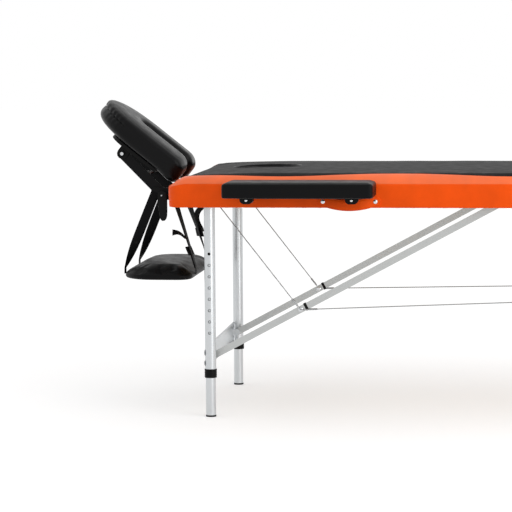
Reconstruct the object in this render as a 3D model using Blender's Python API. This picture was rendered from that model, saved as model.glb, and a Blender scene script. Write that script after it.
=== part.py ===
"""Folding massage table: two padded halves on telescopic aluminium legs, with a tilting headrest,
a hanging arm shelf and two plug-in armrests. Metres, +Z up, the head end towards -X."""
from math import atan2, copysign, cos, pi, radians, sin, sqrt

import bmesh
import bpy
from mathutils import Matrix, Vector

MM = 0.001
HEAD, FOOT = -1, 1
NEAR, FAR = -1, 1
SIDE_NAMES = {NEAR: "near", FAR: "far"}
END_NAMES = {HEAD: "head", FOOT: "foot"}

# Fits that every piece shares
FIT_GAP = 0.3 * MM
CUT_OVERRUN = 5 * MM
FUSE_OVERLAP = 0.5 * MM
MERGE_DISTANCE = 0.01 * MM
MARKER_SIZE = 30 * MM

# Table top: a wooden ring, a plywood deck, a foam pad and a vinyl side cover on each half
HALF_LENGTH = 930 * MM
TABLE_WIDTH = 680 * MM
UNDERSIDE_HEIGHT = 560 * MM
FOLD_GAP = 2 * MM
CORNER_RADIUS = 40 * MM
FOLD_CORNER_RADIUS = 6 * MM
COVER_THICKNESS = 2.2 * MM
RAIL_THICKNESS = 20 * MM
RAIL_HEIGHT = 47 * MM
DECK_THICKNESS = 5 * MM
PAD_SIDE_HEIGHT = 9 * MM
PAD_EDGE_RISE = 26.4 * MM
PAD_EDGE_INSET = 30 * MM
PAD_CROWN = 1 * MM
PAD_CROWN_SHARE = 0.765
FOLD_EDGE_SHARE = 0.4
FACE_HOLE_FROM_END = 224 * MM
FACE_HOLE_LENGTH = 174 * MM
FACE_HOLE_WIDTH = 120 * MM

# Piano hinge under the fold line
HINGE_DROP = 4 * MM
HINGE_LENGTH = 600 * MM
HINGE_BARREL_RADIUS = 3.6 * MM
HINGE_PIN_RADIUS = 1.6 * MM
HINGE_BORE_RADIUS = 2.1 * MM
HINGE_LEAF_WIDTH = 20 * MM
HINGE_LEAF_THICKNESS = 1.5 * MM
KNUCKLE_COUNT = 12
KNUCKLE_GAP = 0.8 * MM

# Telescopic legs
LEG_FROM_END = 103 * MM
HEAD_LEG_INSET = 60 * MM
FOOT_LEG_INSET = 115 * MM
LEG_PIVOT_ABOVE_UNDERSIDE = 29 * MM
LEG_RADIUS = 14.75 * MM
LEG_WALL = 1.05 * MM
LEG_PLUG_DEPTH = 30 * MM
COLLAR_BOTTOM = 105 * MM
COLLAR_HEIGHT = 22 * MM
COLLAR_THICKNESS = 1.1 * MM
SLIDE_GAP = 0.45 * MM
INNER_TUBE_WALL = 1.2 * MM
INNER_TUBE_BELOW_PIVOT = 37 * MM
HOLE_COUNT = 8
HOLE_PITCH = 30 * MM
TOP_HOLE_BELOW_UNDERSIDE = 126 * MM
HOLE_RADIUS = 4 * MM
BUTTON_CLEARANCE = 0.4 * MM
BUTTON_PROUD = 3 * MM
BUTTON_TIP_SHARE = 0.6
RUBBER_FOOT_HEIGHT = 4 * MM
RUBBER_FOOT_RADIUS = 13.9 * MM
RUBBER_STEM_HEIGHT = 16 * MM

# Leg hangers under the deck, with their pivot bolts
PIVOT_BOLT_RADIUS = 4 * MM
PIVOT_CLEARANCE = 0.3 * MM
HANGER_GAP = 1.7 * MM
HANGER_THICKNESS = 3 * MM
HANGER_LENGTH = 60 * MM
HANGER_FLANGE = 16 * MM
HANGER_DROP = 13 * MM
NUT_RADIUS = 7 * MM
NUT_THICKNESS = 3 * MM

# Cross channels between the legs
HEAD_CHANNEL_MIDDLE = 156.5 * MM
FOOT_CHANNEL_MIDDLE = 235 * MM
CHANNEL_HEIGHT = 57 * MM
CHANNEL_SETBACK = 14 * MM
CHANNEL_WALL = 2.2 * MM
CHANNEL_DEPTH = 4.2 * MM
CHANNEL_BEAD_RADIUS = 2.4 * MM

# Folding braces: two flat bars a side, joined at a knuckle
HEAD_BRACE_FROM_LEG = 36.5 * MM
FOOT_BRACE_FROM_LEG = 107 * MM
BRACE_WIDTH = 18 * MM
BRACE_THICKNESS = 3.5 * MM
BRACE_GAP = 0.5 * MM
BRACE_FOOT_OFFSET = -0.5 * MM
BRACE_TOP_FROM_FOLD = 36 * MM
BRACE_TOP_ABOVE_UNDERSIDE = 22 * MM
BRACE_PIN_RADIUS = 3 * MM
BRACE_HOLE_RADIUS = 3.3 * MM
BRACE_EAR_THICKNESS = 3 * MM
BRACE_EAR_RADIUS = 9.5 * MM
RIVET_HEAD_RADIUS = 6 * MM
RIVET_HEAD_THICKNESS = 2 * MM
HANGER_STRIP_WIDTH = 20 * MM
HANGER_STRIP_THICKNESS = 2.7 * MM

# Steel cables that pull the knuckles straight as the table opens
CABLE_RADIUS = 1.1 * MM
CABLE_CLEARANCE = 0.95 * MM

# Carrying handles, one on the near edge of each half
HANDLE_FROM_FOLD = 453 * MM
HANDLE_PITCH = 136 * MM
HANDLE_TAB = 14 * MM
HANDLE_HEIGHT = 28 * MM
HANDLE_THICKNESS = 2.6 * MM
HANDLE_BOLT_ABOVE_UNDERSIDE = 16 * MM
HANDLE_DROOP = 10 * MM
HEAD_HANDLE_BULGE = 8 * MM
FOOT_HANDLE_BULGE = 13 * MM
HEAD_HANDLE_STANDOFF = FIT_GAP
FOOT_HANDLE_STANDOFF = 5 * MM
HANDLE_STEPS = 14
HANDLE_SHOULDER_SHARE = 0.77
HANDLE_CAP_RADIUS = 5.5 * MM
HANDLE_CAP_THICKNESS = 2 * MM

# Armrests that plug into the side rails of the head half
ARMREST_FROM_END = 355 * MM
ARMREST_LENGTH = 380 * MM
ARMREST_WIDTH = 145 * MM
ARMREST_THICKNESS = 39 * MM
ARMREST_SIDE_GAP = 5 * MM
ARMREST_ABOVE_UNDERSIDE = 33 * MM
ARMREST_CORNER = 10 * MM
ARMREST_EDGE = 6 * MM
ARMREST_CROWN = 1 * MM
ARMREST_ROD_PITCH = 270 * MM
ARMREST_ROD_RADIUS = 4.5 * MM
ARMREST_ROD_ABOVE_UNDERSIDE = 27.5 * MM
ARMREST_ROD_INSERTION = 38 * MM
ARMREST_ROD_REACH = 100 * MM
ARMREST_PLATE_THICKNESS = 3 * MM
ARMREST_PLATE_WIDTH = 60 * MM
ARMREST_PLATE_OVERHANG = 22 * MM
ARMREST_BLOCK_LENGTH = 34 * MM
ARMREST_BLOCK_WIDTH = 30 * MM
ARMREST_BLOCK_DROP = 12.5 * MM
ARMREST_BLOCK_CORNER = 11 * MM
ROD_CLEARANCE = 0.4 * MM

# Headrest base: two rods in the end rail, two side plates and the pivot rod
BASE_ROD_SPREAD = 92.5 * MM
BASE_ROD_RADIUS = 5.5 * MM
BASE_ROD_INSERTION = 130 * MM
BASE_ROD_ABOVE_UNDERSIDE = 31 * MM
BASE_PLATE_THICKNESS = 4 * MM
BASE_PLATE_START = 12 * MM
BASE_PLATE_LENGTH = 72 * MM
BASE_PLATE_HEIGHT = 34 * MM
BASE_PLATE_DROP = 13 * MM
BASE_PLATE_CORNER = 8 * MM
HEAD_PIVOT_FROM_END = 52 * MM
HEAD_PIVOT_ABOVE_UNDERSIDE = 16 * MM
HEAD_PIVOT_ROD_RADIUS = 5 * MM
HEAD_PIVOT_ROD_REACH = 14 * MM

# Headrest arm, platform and cushion
ARM_LENGTH = 158.4 * MM
ARM_ANGLE = radians(45.5)
ARM_PLATE_THICKNESS = 4 * MM
ARM_PLATE_WIDTH = 28 * MM
ARM_PLATE_GAP = 3 * MM
ARM_TUBE_RADIUS = 6 * MM
ARM_TUBE_SHARE = 0.5
TILT_BOLT_RADIUS = 4 * MM
TILT_BOLT_HEAD_RADIUS = 7.5 * MM
TILT_BOLT_HEAD_THICKNESS = 4 * MM
CUSHION_TILT = radians(38.5)
CUSHION_LIFT = 27.5 * MM
CUSHION_OUTER_REACH = 124 * MM
CUSHION_INNER_REACH = 155 * MM
CUSHION_WIDTH = 280 * MM
CUSHION_THICKNESS = 70 * MM
CUSHION_LOBE_WIDTH = 105 * MM
CUSHION_NOSE = 40 * MM
CUSHION_SEAM_DEPTH = 3.5 * MM
CUSHION_SQUARENESS_SHARE = 0.6
CUSHION_SIDES = 16
PLATFORM_THICKNESS = 9 * MM
PLATFORM_OUTER_REACH = 52 * MM
PLATFORM_INNER_REACH = 104 * MM
PLATFORM_WIDTH = 232 * MM
PLATFORM_CORNER = 46 * MM
PLATFORM_SLOT_WIDTH = 76 * MM
PLATFORM_SLOT_REACH = 30 * MM
LUG_THICKNESS = 4 * MM
LUG_WIDTH = 30 * MM
LUG_GAP = 1 * MM
LEVER_LENGTH = 71 * MM
LEVER_WIDTH = 23 * MM
LEVER_THICKNESS = 6 * MM

# Arm shelf on four webbing straps
SHELF_UNDER_TABLE = 38 * MM
SHELF_LENGTH = 194 * MM
SHELF_WIDTH = 400 * MM
SHELF_THICKNESS = 30 * MM
SHELF_BELOW_UNDERSIDE = 203 * MM
SHELF_OUTER_CORNER = 90 * MM
SHELF_INNER_CORNER = 40 * MM
SHELF_EDGE = 12 * MM
SHELF_CROWN = 3 * MM
SOFT_FOOT_SHARE = 0.3
STRAP_WIDTH = 22 * MM
STRAP_THICKNESS = 1.8 * MM
STRAP_TOP_ABOVE_UNDERSIDE = 23 * MM
OUTER_STRAP_TOP_FROM_END = 75 * MM
INNER_STRAP_TOP_FROM_END = 24 * MM
STRAP_FOOT_SPREAD = 110 * MM
STRAP_KNEE_DROP = 9 * MM
STRAP_FOOT_RISE = 5 * MM
STRAP_STEPS = 6
BUCKLE_WIDTH = 27 * MM
BUCKLE_LENGTH = 20 * MM
BUCKLE_THICKNESS = 5 * MM
NEAR_BUCKLE_SHARE = 0.77
FAR_BUCKLE_SHARE = 0.61

# Facets
TUBE_SIDES = 20
ROD_SIDES = 12
ARC_STEPS = 6

# Heights and places that follow
RAIL_TOP = UNDERSIDE_HEIGHT + RAIL_HEIGHT
DECK_TOP = RAIL_TOP + FIT_GAP + DECK_THICKNESS
PAD_BOTTOM = DECK_TOP + FIT_GAP
HALF_WIDTH = TABLE_WIDTH / 2
PAD_CROWN_REACH = PAD_CROWN_SHARE * HALF_WIDTH
LEG_FROM_FOLD = HALF_LENGTH - LEG_FROM_END
LEG_SPREAD = {HEAD: HALF_WIDTH - HEAD_LEG_INSET, FOOT: HALF_WIDTH - FOOT_LEG_INSET}
BRACE_SPREAD = {HEAD: LEG_SPREAD[HEAD] - HEAD_BRACE_FROM_LEG, FOOT: LEG_SPREAD[FOOT] - FOOT_BRACE_FROM_LEG}
CHANNEL_MIDDLE = {HEAD: HEAD_CHANNEL_MIDDLE, FOOT: FOOT_CHANNEL_MIDDLE}
HANDLE_BULGE = {HEAD: HEAD_HANDLE_BULGE, FOOT: FOOT_HANDLE_BULGE}
HANDLE_STANDOFF = {HEAD: HEAD_HANDLE_STANDOFF, FOOT: FOOT_HANDLE_STANDOFF}
ARMREST_FROM_FOLD = HALF_LENGTH - ARMREST_FROM_END
SHELF_HEIGHT = UNDERSIDE_HEIGHT - SHELF_BELOW_UNDERSIDE
TOP_HOLE_HEIGHT = UNDERSIDE_HEIGHT - TOP_HOLE_BELOW_UNDERSIDE
FOLD_FACE = FOLD_GAP / 2
RAIL_OUTSET = COVER_THICKNESS + FIT_GAP
LEG_PIVOT_HEIGHT = UNDERSIDE_HEIGHT + LEG_PIVOT_ABOVE_UNDERSIDE
INNER_TUBE_TOP = LEG_PIVOT_HEIGHT - INNER_TUBE_BELOW_PIVOT
LEG_BORE = LEG_RADIUS - LEG_WALL
INNER_TUBE_RADIUS = LEG_BORE - SLIDE_GAP
COLLAR_TOP = COLLAR_BOTTOM + COLLAR_HEIGHT
HINGE_HEIGHT = UNDERSIDE_HEIGHT - HINGE_DROP
BRACE_FOOT_FROM_FOLD = LEG_FROM_FOLD + BRACE_FOOT_OFFSET
BRACE_TOP_HEIGHT = UNDERSIDE_HEIGHT + BRACE_TOP_ABOVE_UNDERSIDE
HEAD_PIVOT = Vector((-HALF_LENGTH - HEAD_PIVOT_FROM_END, 0, UNDERSIDE_HEIGHT + HEAD_PIVOT_ABOVE_UNDERSIDE))
TILT_PIVOT = HEAD_PIVOT + Vector((-ARM_LENGTH * cos(ARM_ANGLE), 0, ARM_LENGTH * sin(ARM_ANGLE)))
BASE_ROD_HEIGHT = UNDERSIDE_HEIGHT + BASE_ROD_ABOVE_UNDERSIDE
ARM_PLATE_OUTER = BASE_ROD_SPREAD - BASE_PLATE_THICKNESS / 2 - ARM_PLATE_GAP
STRAP_INNER_FACE = BASE_ROD_SPREAD + BASE_PLATE_THICKNESS / 2 + FIT_GAP
LEVER_FACE = BASE_ROD_SPREAD + BASE_PLATE_THICKNESS / 2 + HEAD_PIVOT_ROD_REACH
CUSHION_OUTER_END = TILT_PIVOT.x - CUSHION_OUTER_REACH * cos(CUSHION_TILT)
CUSHION_OUTER_END += (CUSHION_LIFT + CUSHION_THICKNESS / 4) * sin(CUSHION_TILT)
ORIGIN_SHIFT = -(CUSHION_OUTER_END + HALF_LENGTH) / 2


def clear_scene():
    for old in list(bpy.data.objects):
        bpy.data.objects.remove(old, do_unlink=True)


def linear(channel):
    return channel / 12.92 if channel <= 0.04045 else ((channel + 0.055) / 1.055) ** 2.4


def make_material(name, colour, roughness, metallic=0.0):
    material = bpy.data.materials.new(name)
    material.use_nodes = True
    shader = material.node_tree.nodes["Principled BSDF"]
    rgb = [linear(int(colour[i : i + 2], 16) / 255) for i in (0, 2, 4)]
    shader.inputs["Base Color"].default_value = (*rgb, 1)
    shader.inputs["Roughness"].default_value = roughness
    shader.inputs["Metallic"].default_value = metallic
    material.diffuse_color = (*rgb, 1)
    return material


def make_materials():
    """One finish for each kind of piece, named for what it is."""
    return {
        "black_vinyl": make_material("black_vinyl", "1F1F21", 0.45),
        "orange_vinyl": make_material("orange_vinyl", "E8540E", 0.4),
        "plywood": make_material("plywood", "B58F60", 0.7),
        "beech": make_material("beech", "C9A36B", 0.65),
        "aluminium": make_material("aluminium", "C9CBCC", 0.35, 1.0),
        "grey_bar": make_material("grey_bar", "B9BBBB", 0.4, 0.9),
        "steel": make_material("steel", "8F9295", 0.3, 1.0),
        "black_plastic": make_material("black_plastic", "19191A", 0.5),
        "rubber": make_material("rubber", "141414", 0.85),
        "webbing": make_material("webbing", "161617", 0.8),
    }


def empty(name, location, parent=None):
    """A marker on a joint's axis; location is in the table's own frame."""
    marker = bpy.data.objects.new(name, None)
    marker.empty_display_size = MARKER_SIZE
    bpy.context.collection.objects.link(marker)
    marker["place"] = list(location)
    base = Vector(parent["place"]) if parent else Vector((0, 0, 0))
    marker.location = Vector(location) - base
    marker.parent = parent
    return marker


def mesh_object(name, bm, parent, material=None):
    """Bodies are drawn in the table's frame, so the object steps back by its parent's place."""
    bmesh.ops.remove_doubles(bm, verts=bm.verts, dist=MERGE_DISTANCE)
    bmesh.ops.recalc_face_normals(bm, faces=bm.faces)
    mesh = bpy.data.meshes.new(name)
    bm.to_mesh(mesh)
    bm.free()
    mesh.shade_smooth()
    mesh.set_sharp_from_angle(angle=radians(35))
    thing = bpy.data.objects.new(name, mesh)
    bpy.context.collection.objects.link(thing)
    thing.parent = parent
    thing.location = -Vector(parent["place"])
    if material:
        mesh.materials.append(material)
    return thing


def combine(target, bm, operation, name):
    """Cuts a hidden shape out of a piece, or fuses it on."""
    tool = mesh_object(f"{target.name}_{name}", bm, target.parent)
    tool.hide_render = True
    tool.display_type = "WIRE"
    modifier = target.modifiers.new(name, "BOOLEAN")
    modifier.operation = operation
    modifier.object = tool
    return target


def cut(target, bm, name):
    return combine(target, bm, "DIFFERENCE", name)


def fuse(target, bm, name):
    return combine(target, bm, "UNION", name)


def loft(bm, loops):
    """Skins closed loops of equal length and caps both ends."""
    rows = [[bm.verts.new(point) for point in loop] for loop in loops]
    for lower, upper in zip(rows, rows[1:]):
        for i in range(len(lower)):
            j = (i + 1) % len(lower)
            bm.faces.new((lower[i], lower[j], upper[j], upper[i]))
    bm.faces.new(rows[0][::-1])
    bm.faces.new(rows[-1])
    return bm


def ring_loft(bm, outer, inner):
    """Skins a wall between two outlines, each a pair of loops, the low one first."""
    loops = [outer[0], outer[1], inner[1], inner[0]]
    rows = [[bm.verts.new(point) for point in loop] for loop in loops]
    for low, high in zip(rows, rows[1:] + rows[:1]):
        for i in range(len(low)):
            j = (i + 1) % len(low)
            bm.faces.new((low[i], low[j], high[j], high[i]))
    return bm


def prism(bm, outline, axis, start, end):
    """Extrudes a flat outline along an axis: XY along Z, XZ along Y, or YZ along X."""
    place = {
        "Z": lambda a, b, h: (a, b, h),
        "Y": lambda a, b, h: (a, h, b),
        "X": lambda a, b, h: (h, a, b),
    }[axis]
    return loft(bm, [[place(a, b, h) for a, b in outline] for h in (start, end)])


def box(bm, x, y, z):
    """A block between three pairs of limits."""
    return prism(bm, [(x[0], y[0]), (x[1], y[0]), (x[1], y[1]), (x[0], y[1])], "Z", z[0], z[1])


def arc(centre, radius, start, end, steps):
    angles = [start + (end - start) * i / steps for i in range(steps + 1)]
    return [(centre[0] + radius * cos(a), centre[1] + radius * sin(a)) for a in angles]


def circle(centre, radius, sides):
    return arc(centre, radius, 0, 2 * pi, sides)[:-1]


def stadium(start, end, radius, steps=ARC_STEPS):
    """The outline of a bar with round ends."""
    heading = atan2(end[1] - start[1], end[0] - start[0])
    far = arc(end, radius, heading - pi / 2, heading + pi / 2, steps)
    return far + arc(start, radius, heading + pi / 2, heading + pi * 3 / 2, steps)


def rounded_box(low, high, radii, steps=ARC_STEPS):
    """An outline with its own radius at each corner: low-low, high-low, high-high, low-high."""
    a, b, c, d = radii
    points = arc((low[0] + a, low[1] + a), a, pi, pi * 3 / 2, steps)
    points += arc((high[0] - b, low[1] + b), b, -pi / 2, 0, steps)
    points += arc((high[0] - c, high[1] - c), c, 0, pi / 2, steps)
    return points + arc((low[0] + d, high[1] - d), d, pi / 2, pi, steps)


def rod(bm, start, end, radius, sides=ROD_SIDES):
    """A round bar along one of the axes."""
    axis = max(range(3), key=lambda i: abs(end[i] - start[i]))
    others = {0: (1, 2), 1: (0, 2), 2: (0, 1)}[axis]
    outline = circle([start[i] for i in others], radius, sides)
    low, high = sorted((start[axis], end[axis]))
    return prism(bm, outline, "XYZ"[axis], low, high)


def turned(bm, profile, centre, sides):
    """Spins a closed profile of radius and height about an upright axis."""
    rows = []
    for radius, height in profile:
        count = sides if radius > 0 else 1
        ring = circle(centre, radius, sides)[:count]
        rows.append([bm.verts.new((x, y, height)) for x, y in ring])
    for low, high in zip(rows, rows[1:] + rows[:1]):
        for i in range(sides):
            j = (i + 1) % sides
            corners = [low[i % len(low)], low[j % len(low)], high[j % len(high)], high[i % len(high)]]
            corners = list(dict.fromkeys(corners))
            if len(corners) > 2:
                bm.faces.new(corners)
    return bm


def top_outline(end, inset, corner_steps=ARC_STEPS):
    """The plan of one half of the top, drawn in by an inset all round."""
    u = (FOLD_FACE + inset, HALF_LENGTH - inset)
    w = HALF_WIDTH - inset
    outer = max(CORNER_RADIUS - inset, CORNER_RADIUS / 4)
    fold = max(FOLD_CORNER_RADIUS - inset, FOLD_CORNER_RADIUS / 4)
    plan = rounded_box((u[0], -w), (u[1], w), (fold, outer, outer, fold), corner_steps)
    return [(end * a, b) for a, b in plan]


def at_height(outline, height):
    return [(a, b, height) for a, b in outline]


def face_hole(bm, bottom, top):
    """The oval through the pad and the deck."""
    middle = -(HALF_LENGTH - FACE_HOLE_FROM_END)
    oval = [(middle + FACE_HOLE_LENGTH / 2 * a, FACE_HOLE_WIDTH / 2 * b) for a, b in circle((0, 0), 1, 28)]
    return prism(bm, oval, "Z", bottom - CUT_OVERRUN, top + CUT_OVERRUN)


def pad_edge(inset_share):
    """Height of the pad over its upright side, as it rounds over, from an inset in shares of the edge."""
    return PAD_EDGE_RISE * sqrt(1 - (1 - inset_share) ** 2)


def pad_loops(end):
    """The upright side, the rounded edge and the crowned top."""
    side_top = PAD_BOTTOM + PAD_SIDE_HEIGHT
    loops = [at_height(top_outline(end, 0), PAD_BOTTOM)]
    edge_shares = (0, 0.08, 0.3, 0.62, 1)
    for share in edge_shares:
        u_inset = PAD_EDGE_INSET * share
        loops.append(at_height(pad_outline(end, u_inset), side_top + pad_edge(share)))
    crown_shares = (0.25, 0.55, 1)
    for share in crown_shares:
        inset = PAD_EDGE_INSET + (PAD_CROWN_REACH - PAD_EDGE_INSET) * share
        height = side_top + PAD_EDGE_RISE + PAD_CROWN * sin(share * pi / 2)
        loops.append(at_height(pad_outline(end, inset), height))
    return loops


def pad_outline(end, inset):
    """The pad draws in less at the fold, where the two halves meet."""
    u = (FOLD_FACE + inset * FOLD_EDGE_SHARE, HALF_LENGTH - inset)
    w = HALF_WIDTH - inset
    radii = (FOLD_CORNER_RADIUS, CORNER_RADIUS, CORNER_RADIUS, FOLD_CORNER_RADIUS)
    plan = rounded_box((u[0], -w), (u[1], w), radii)
    return [(end * a, b) for a, b in plan]


def headrest_rod_holes(bm, clearance):
    for side in (NEAR, FAR):
        start = (-HALF_LENGTH - CUT_OVERRUN, side * BASE_ROD_SPREAD, BASE_ROD_HEIGHT)
        end = (-HALF_LENGTH + RAIL_THICKNESS + 2 * CUT_OVERRUN, start[1], start[2])
        rod(bm, start, end, BASE_ROD_RADIUS + clearance)
    return bm


def armrest_rod_places():
    """How far from the fold each armrest rod sits."""
    return [ARMREST_FROM_FOLD + step * ARMREST_ROD_PITCH / 2 for step in (-1, 1)]


def armrest_rod_holes(bm, clearance):
    height = UNDERSIDE_HEIGHT + ARMREST_ROD_ABOVE_UNDERSIDE
    for side in (NEAR, FAR):
        for u in armrest_rod_places():
            start = (-u, side * (HALF_WIDTH + CUT_OVERRUN), height)
            end = (-u, side * (HALF_WIDTH - RAIL_THICKNESS - 2 * CUT_OVERRUN), height)
            rod(bm, start, end, ARMREST_ROD_RADIUS + clearance)
    return bm


def make_top(end, parent, paint):
    """Ring of rails, deck, pad and side cover of one half."""
    name = END_NAMES[end]
    rails = ring_loft(
        bmesh.new(),
        [at_height(top_outline(end, RAIL_OUTSET), h) for h in (UNDERSIDE_HEIGHT, RAIL_TOP)],
        [at_height(top_outline(end, RAIL_OUTSET + RAIL_THICKNESS), h) for h in (UNDERSIDE_HEIGHT, RAIL_TOP)],
    )
    frame = mesh_object(f"{name}_frame", rails, parent, paint["beech"])
    wall = ring_loft(
        bmesh.new(),
        [at_height(top_outline(end, 0), h) for h in (UNDERSIDE_HEIGHT, DECK_TOP)],
        [at_height(top_outline(end, COVER_THICKNESS), h) for h in (UNDERSIDE_HEIGHT, DECK_TOP)],
    )
    cover = mesh_object(f"{name}_side_cover", wall, parent, paint["orange_vinyl"])
    board = prism(bmesh.new(), top_outline(end, RAIL_OUTSET), "Z", RAIL_TOP + FIT_GAP, DECK_TOP)
    deck = mesh_object(f"{name}_deck", board, parent, paint["plywood"])
    pad = mesh_object(f"{name}_pad", loft(bmesh.new(), pad_loops(end)), parent, paint["black_vinyl"])
    if end == HEAD:
        for piece in (frame, cover):
            cut(piece, headrest_rod_holes(bmesh.new(), ROD_CLEARANCE), "headrest_holes")
            cut(piece, armrest_rod_holes(bmesh.new(), ROD_CLEARANCE), "armrest_holes")
        pad_top = PAD_BOTTOM + PAD_SIDE_HEIGHT + PAD_EDGE_RISE + PAD_CROWN
        cut(deck, face_hole(bmesh.new(), RAIL_TOP, DECK_TOP), "face_hole")
        cut(pad, face_hole(bmesh.new(), PAD_BOTTOM, pad_top), "face_hole")


def make_hinge_leaf(end, parent, paint):
    """A leaf screwed under the rails, with every other knuckle; the head's leaf holds the pin."""
    leaf_top = UNDERSIDE_HEIGHT - FIT_GAP
    leaf_start = HINGE_BARREL_RADIUS + KNUCKLE_GAP
    x = sorted((end * leaf_start, end * (leaf_start + HINGE_LEAF_WIDTH)))
    reach = HINGE_LENGTH / 2
    leaf = box(bmesh.new(), x, (-reach, reach), (leaf_top - HINGE_LEAF_THICKNESS, leaf_top))
    hinge = mesh_object(f"{END_NAMES[end]}_hinge_leaf", leaf, parent, paint["steel"])
    pitch = HINGE_LENGTH / KNUCKLE_COUNT
    webs = bmesh.new()
    barrels = bmesh.new()
    for step in range(0 if end == HEAD else 1, KNUCKLE_COUNT, 2):
        low = -reach + step * pitch + KNUCKLE_GAP / 2
        high = low + pitch - KNUCKLE_GAP
        web_x = sorted((end * HINGE_BARREL_RADIUS / 2, end * (leaf_start + FUSE_OVERLAP)))
        web_y = (low + FUSE_OVERLAP, high - FUSE_OVERLAP)
        box(webs, web_x, web_y, (leaf_top - HINGE_LEAF_THICKNESS, leaf_top - FIT_GAP))
        rod(barrels, (0, low, HINGE_HEIGHT), (0, high, HINGE_HEIGHT), HINGE_BARREL_RADIUS)
    fuse(hinge, webs, "webs")
    fuse(hinge, barrels, "knuckles")
    if end == HEAD:
        pin_ends = [(0, -reach + FIT_GAP, HINGE_HEIGHT), (0, reach, HINGE_HEIGHT)]
        fuse(hinge, rod(bmesh.new(), *pin_ends, HINGE_PIN_RADIUS), "pin")
    else:
        ends = [(0, step * (reach + CUT_OVERRUN), HINGE_HEIGHT) for step in (-1, 1)]
        cut(hinge, rod(bmesh.new(), *ends, HINGE_BORE_RADIUS), "bore")


def leg_axis(end, side):
    return (end * LEG_FROM_FOLD, side * LEG_SPREAD[end])


def leg_holes(bm, end, side):
    """Eight holes in the outward wall, a pitch apart."""
    x, y = leg_axis(end, side)
    for step in range(HOLE_COUNT):
        height = TOP_HOLE_HEIGHT - step * HOLE_PITCH
        start = (x, y + side * LEG_BORE / 2, height)
        rod(bm, start, (x, y + side * (LEG_RADIUS + CUT_OVERRUN), height), HOLE_RADIUS, 10)
    return bm


def make_leg(end, side, legs, paint):
    """Outer tube with a domed plug at its pivot, its collar, the inner tube, its rubber foot and button."""
    name = f"{END_NAMES[end]}_{SIDE_NAMES[side]}"
    axis = leg_axis(end, side)
    collar_radius = LEG_RADIUS + COLLAR_THICKNESS
    dome = arc((0, LEG_PIVOT_HEIGHT), LEG_RADIUS, 0, pi / 2, 4)[:-1]
    profile = [(LEG_BORE, COLLAR_BOTTOM), (collar_radius, COLLAR_BOTTOM), (collar_radius, COLLAR_TOP)]
    profile += [(LEG_RADIUS, COLLAR_TOP)] + dome + [(0, LEG_PIVOT_HEIGHT + LEG_RADIUS)]
    profile += [(0, LEG_PIVOT_HEIGHT - LEG_PLUG_DEPTH), (LEG_BORE, LEG_PIVOT_HEIGHT - LEG_PLUG_DEPTH)]
    shell = turned(bmesh.new(), profile, axis, TUBE_SIDES)
    tube = mesh_object(f"{name}_leg", shell, legs, paint["aluminium"])
    cut(tube, leg_holes(bmesh.new(), end, side), "height_holes")
    reach = LEG_RADIUS + CUT_OVERRUN
    bolt_ends = [(axis[0], axis[1] + step * reach, LEG_PIVOT_HEIGHT) for step in (-1, 1)]
    cut(tube, rod(bmesh.new(), *bolt_ends, PIVOT_BOLT_RADIUS + PIVOT_CLEARANCE), "bolt_hole")

    extension = empty(f"{name}_extension", (*axis, INNER_TUBE_TOP), legs)
    bore = INNER_TUBE_RADIUS - INNER_TUBE_WALL
    low = RUBBER_FOOT_HEIGHT + FIT_GAP
    high = INNER_TUBE_TOP
    wall = [(bore, low), (INNER_TUBE_RADIUS, low), (INNER_TUBE_RADIUS, high), (bore, high)]
    sleeve = turned(bmesh.new(), wall, axis, TUBE_SIDES)
    inner = mesh_object(f"{name}_inner_tube", sleeve, extension, paint["aluminium"])
    opening = rod(
        bmesh.new(),
        (axis[0], axis[1] + side * bore / 2, TOP_HOLE_HEIGHT),
        (axis[0], axis[1] + side * (INNER_TUBE_RADIUS + CUT_OVERRUN), TOP_HOLE_HEIGHT),
        HOLE_RADIUS,
        10,
    )
    cut(inner, opening, "button_hole")
    stem = bore - FIT_GAP
    top = RUBBER_FOOT_HEIGHT + RUBBER_STEM_HEIGHT
    sole = [(0, 0), (RUBBER_FOOT_RADIUS, 0), (RUBBER_FOOT_RADIUS, RUBBER_FOOT_HEIGHT)]
    sole += [(stem, RUBBER_FOOT_HEIGHT), (stem, top), (0, top)]
    shoe = turned(bmesh.new(), sole, axis, TUBE_SIDES)
    mesh_object(f"{name}_rubber_foot", shoe, extension, paint["rubber"])

    inner_face = axis[1] + side * (INNER_TUBE_RADIUS + FIT_GAP)
    press = empty(f"{name}_press", (axis[0], inner_face, TOP_HOLE_HEIGHT), legs)
    radius = HOLE_RADIUS - BUTTON_CLEARANCE
    outer_face = axis[1] + side * (LEG_RADIUS + BUTTON_PROUD)
    shoulder = outer_face - side * radius / 3
    rings = [(inner_face, radius), (shoulder, radius), (outer_face, radius * BUTTON_TIP_SHARE)]
    loops = [[(a, y, b) for a, b in circle((axis[0], TOP_HOLE_HEIGHT), r, 10)] for y, r in rings]
    mesh_object(f"{name}_button", loft(bmesh.new(), loops), press, paint["black_plastic"])


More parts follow.
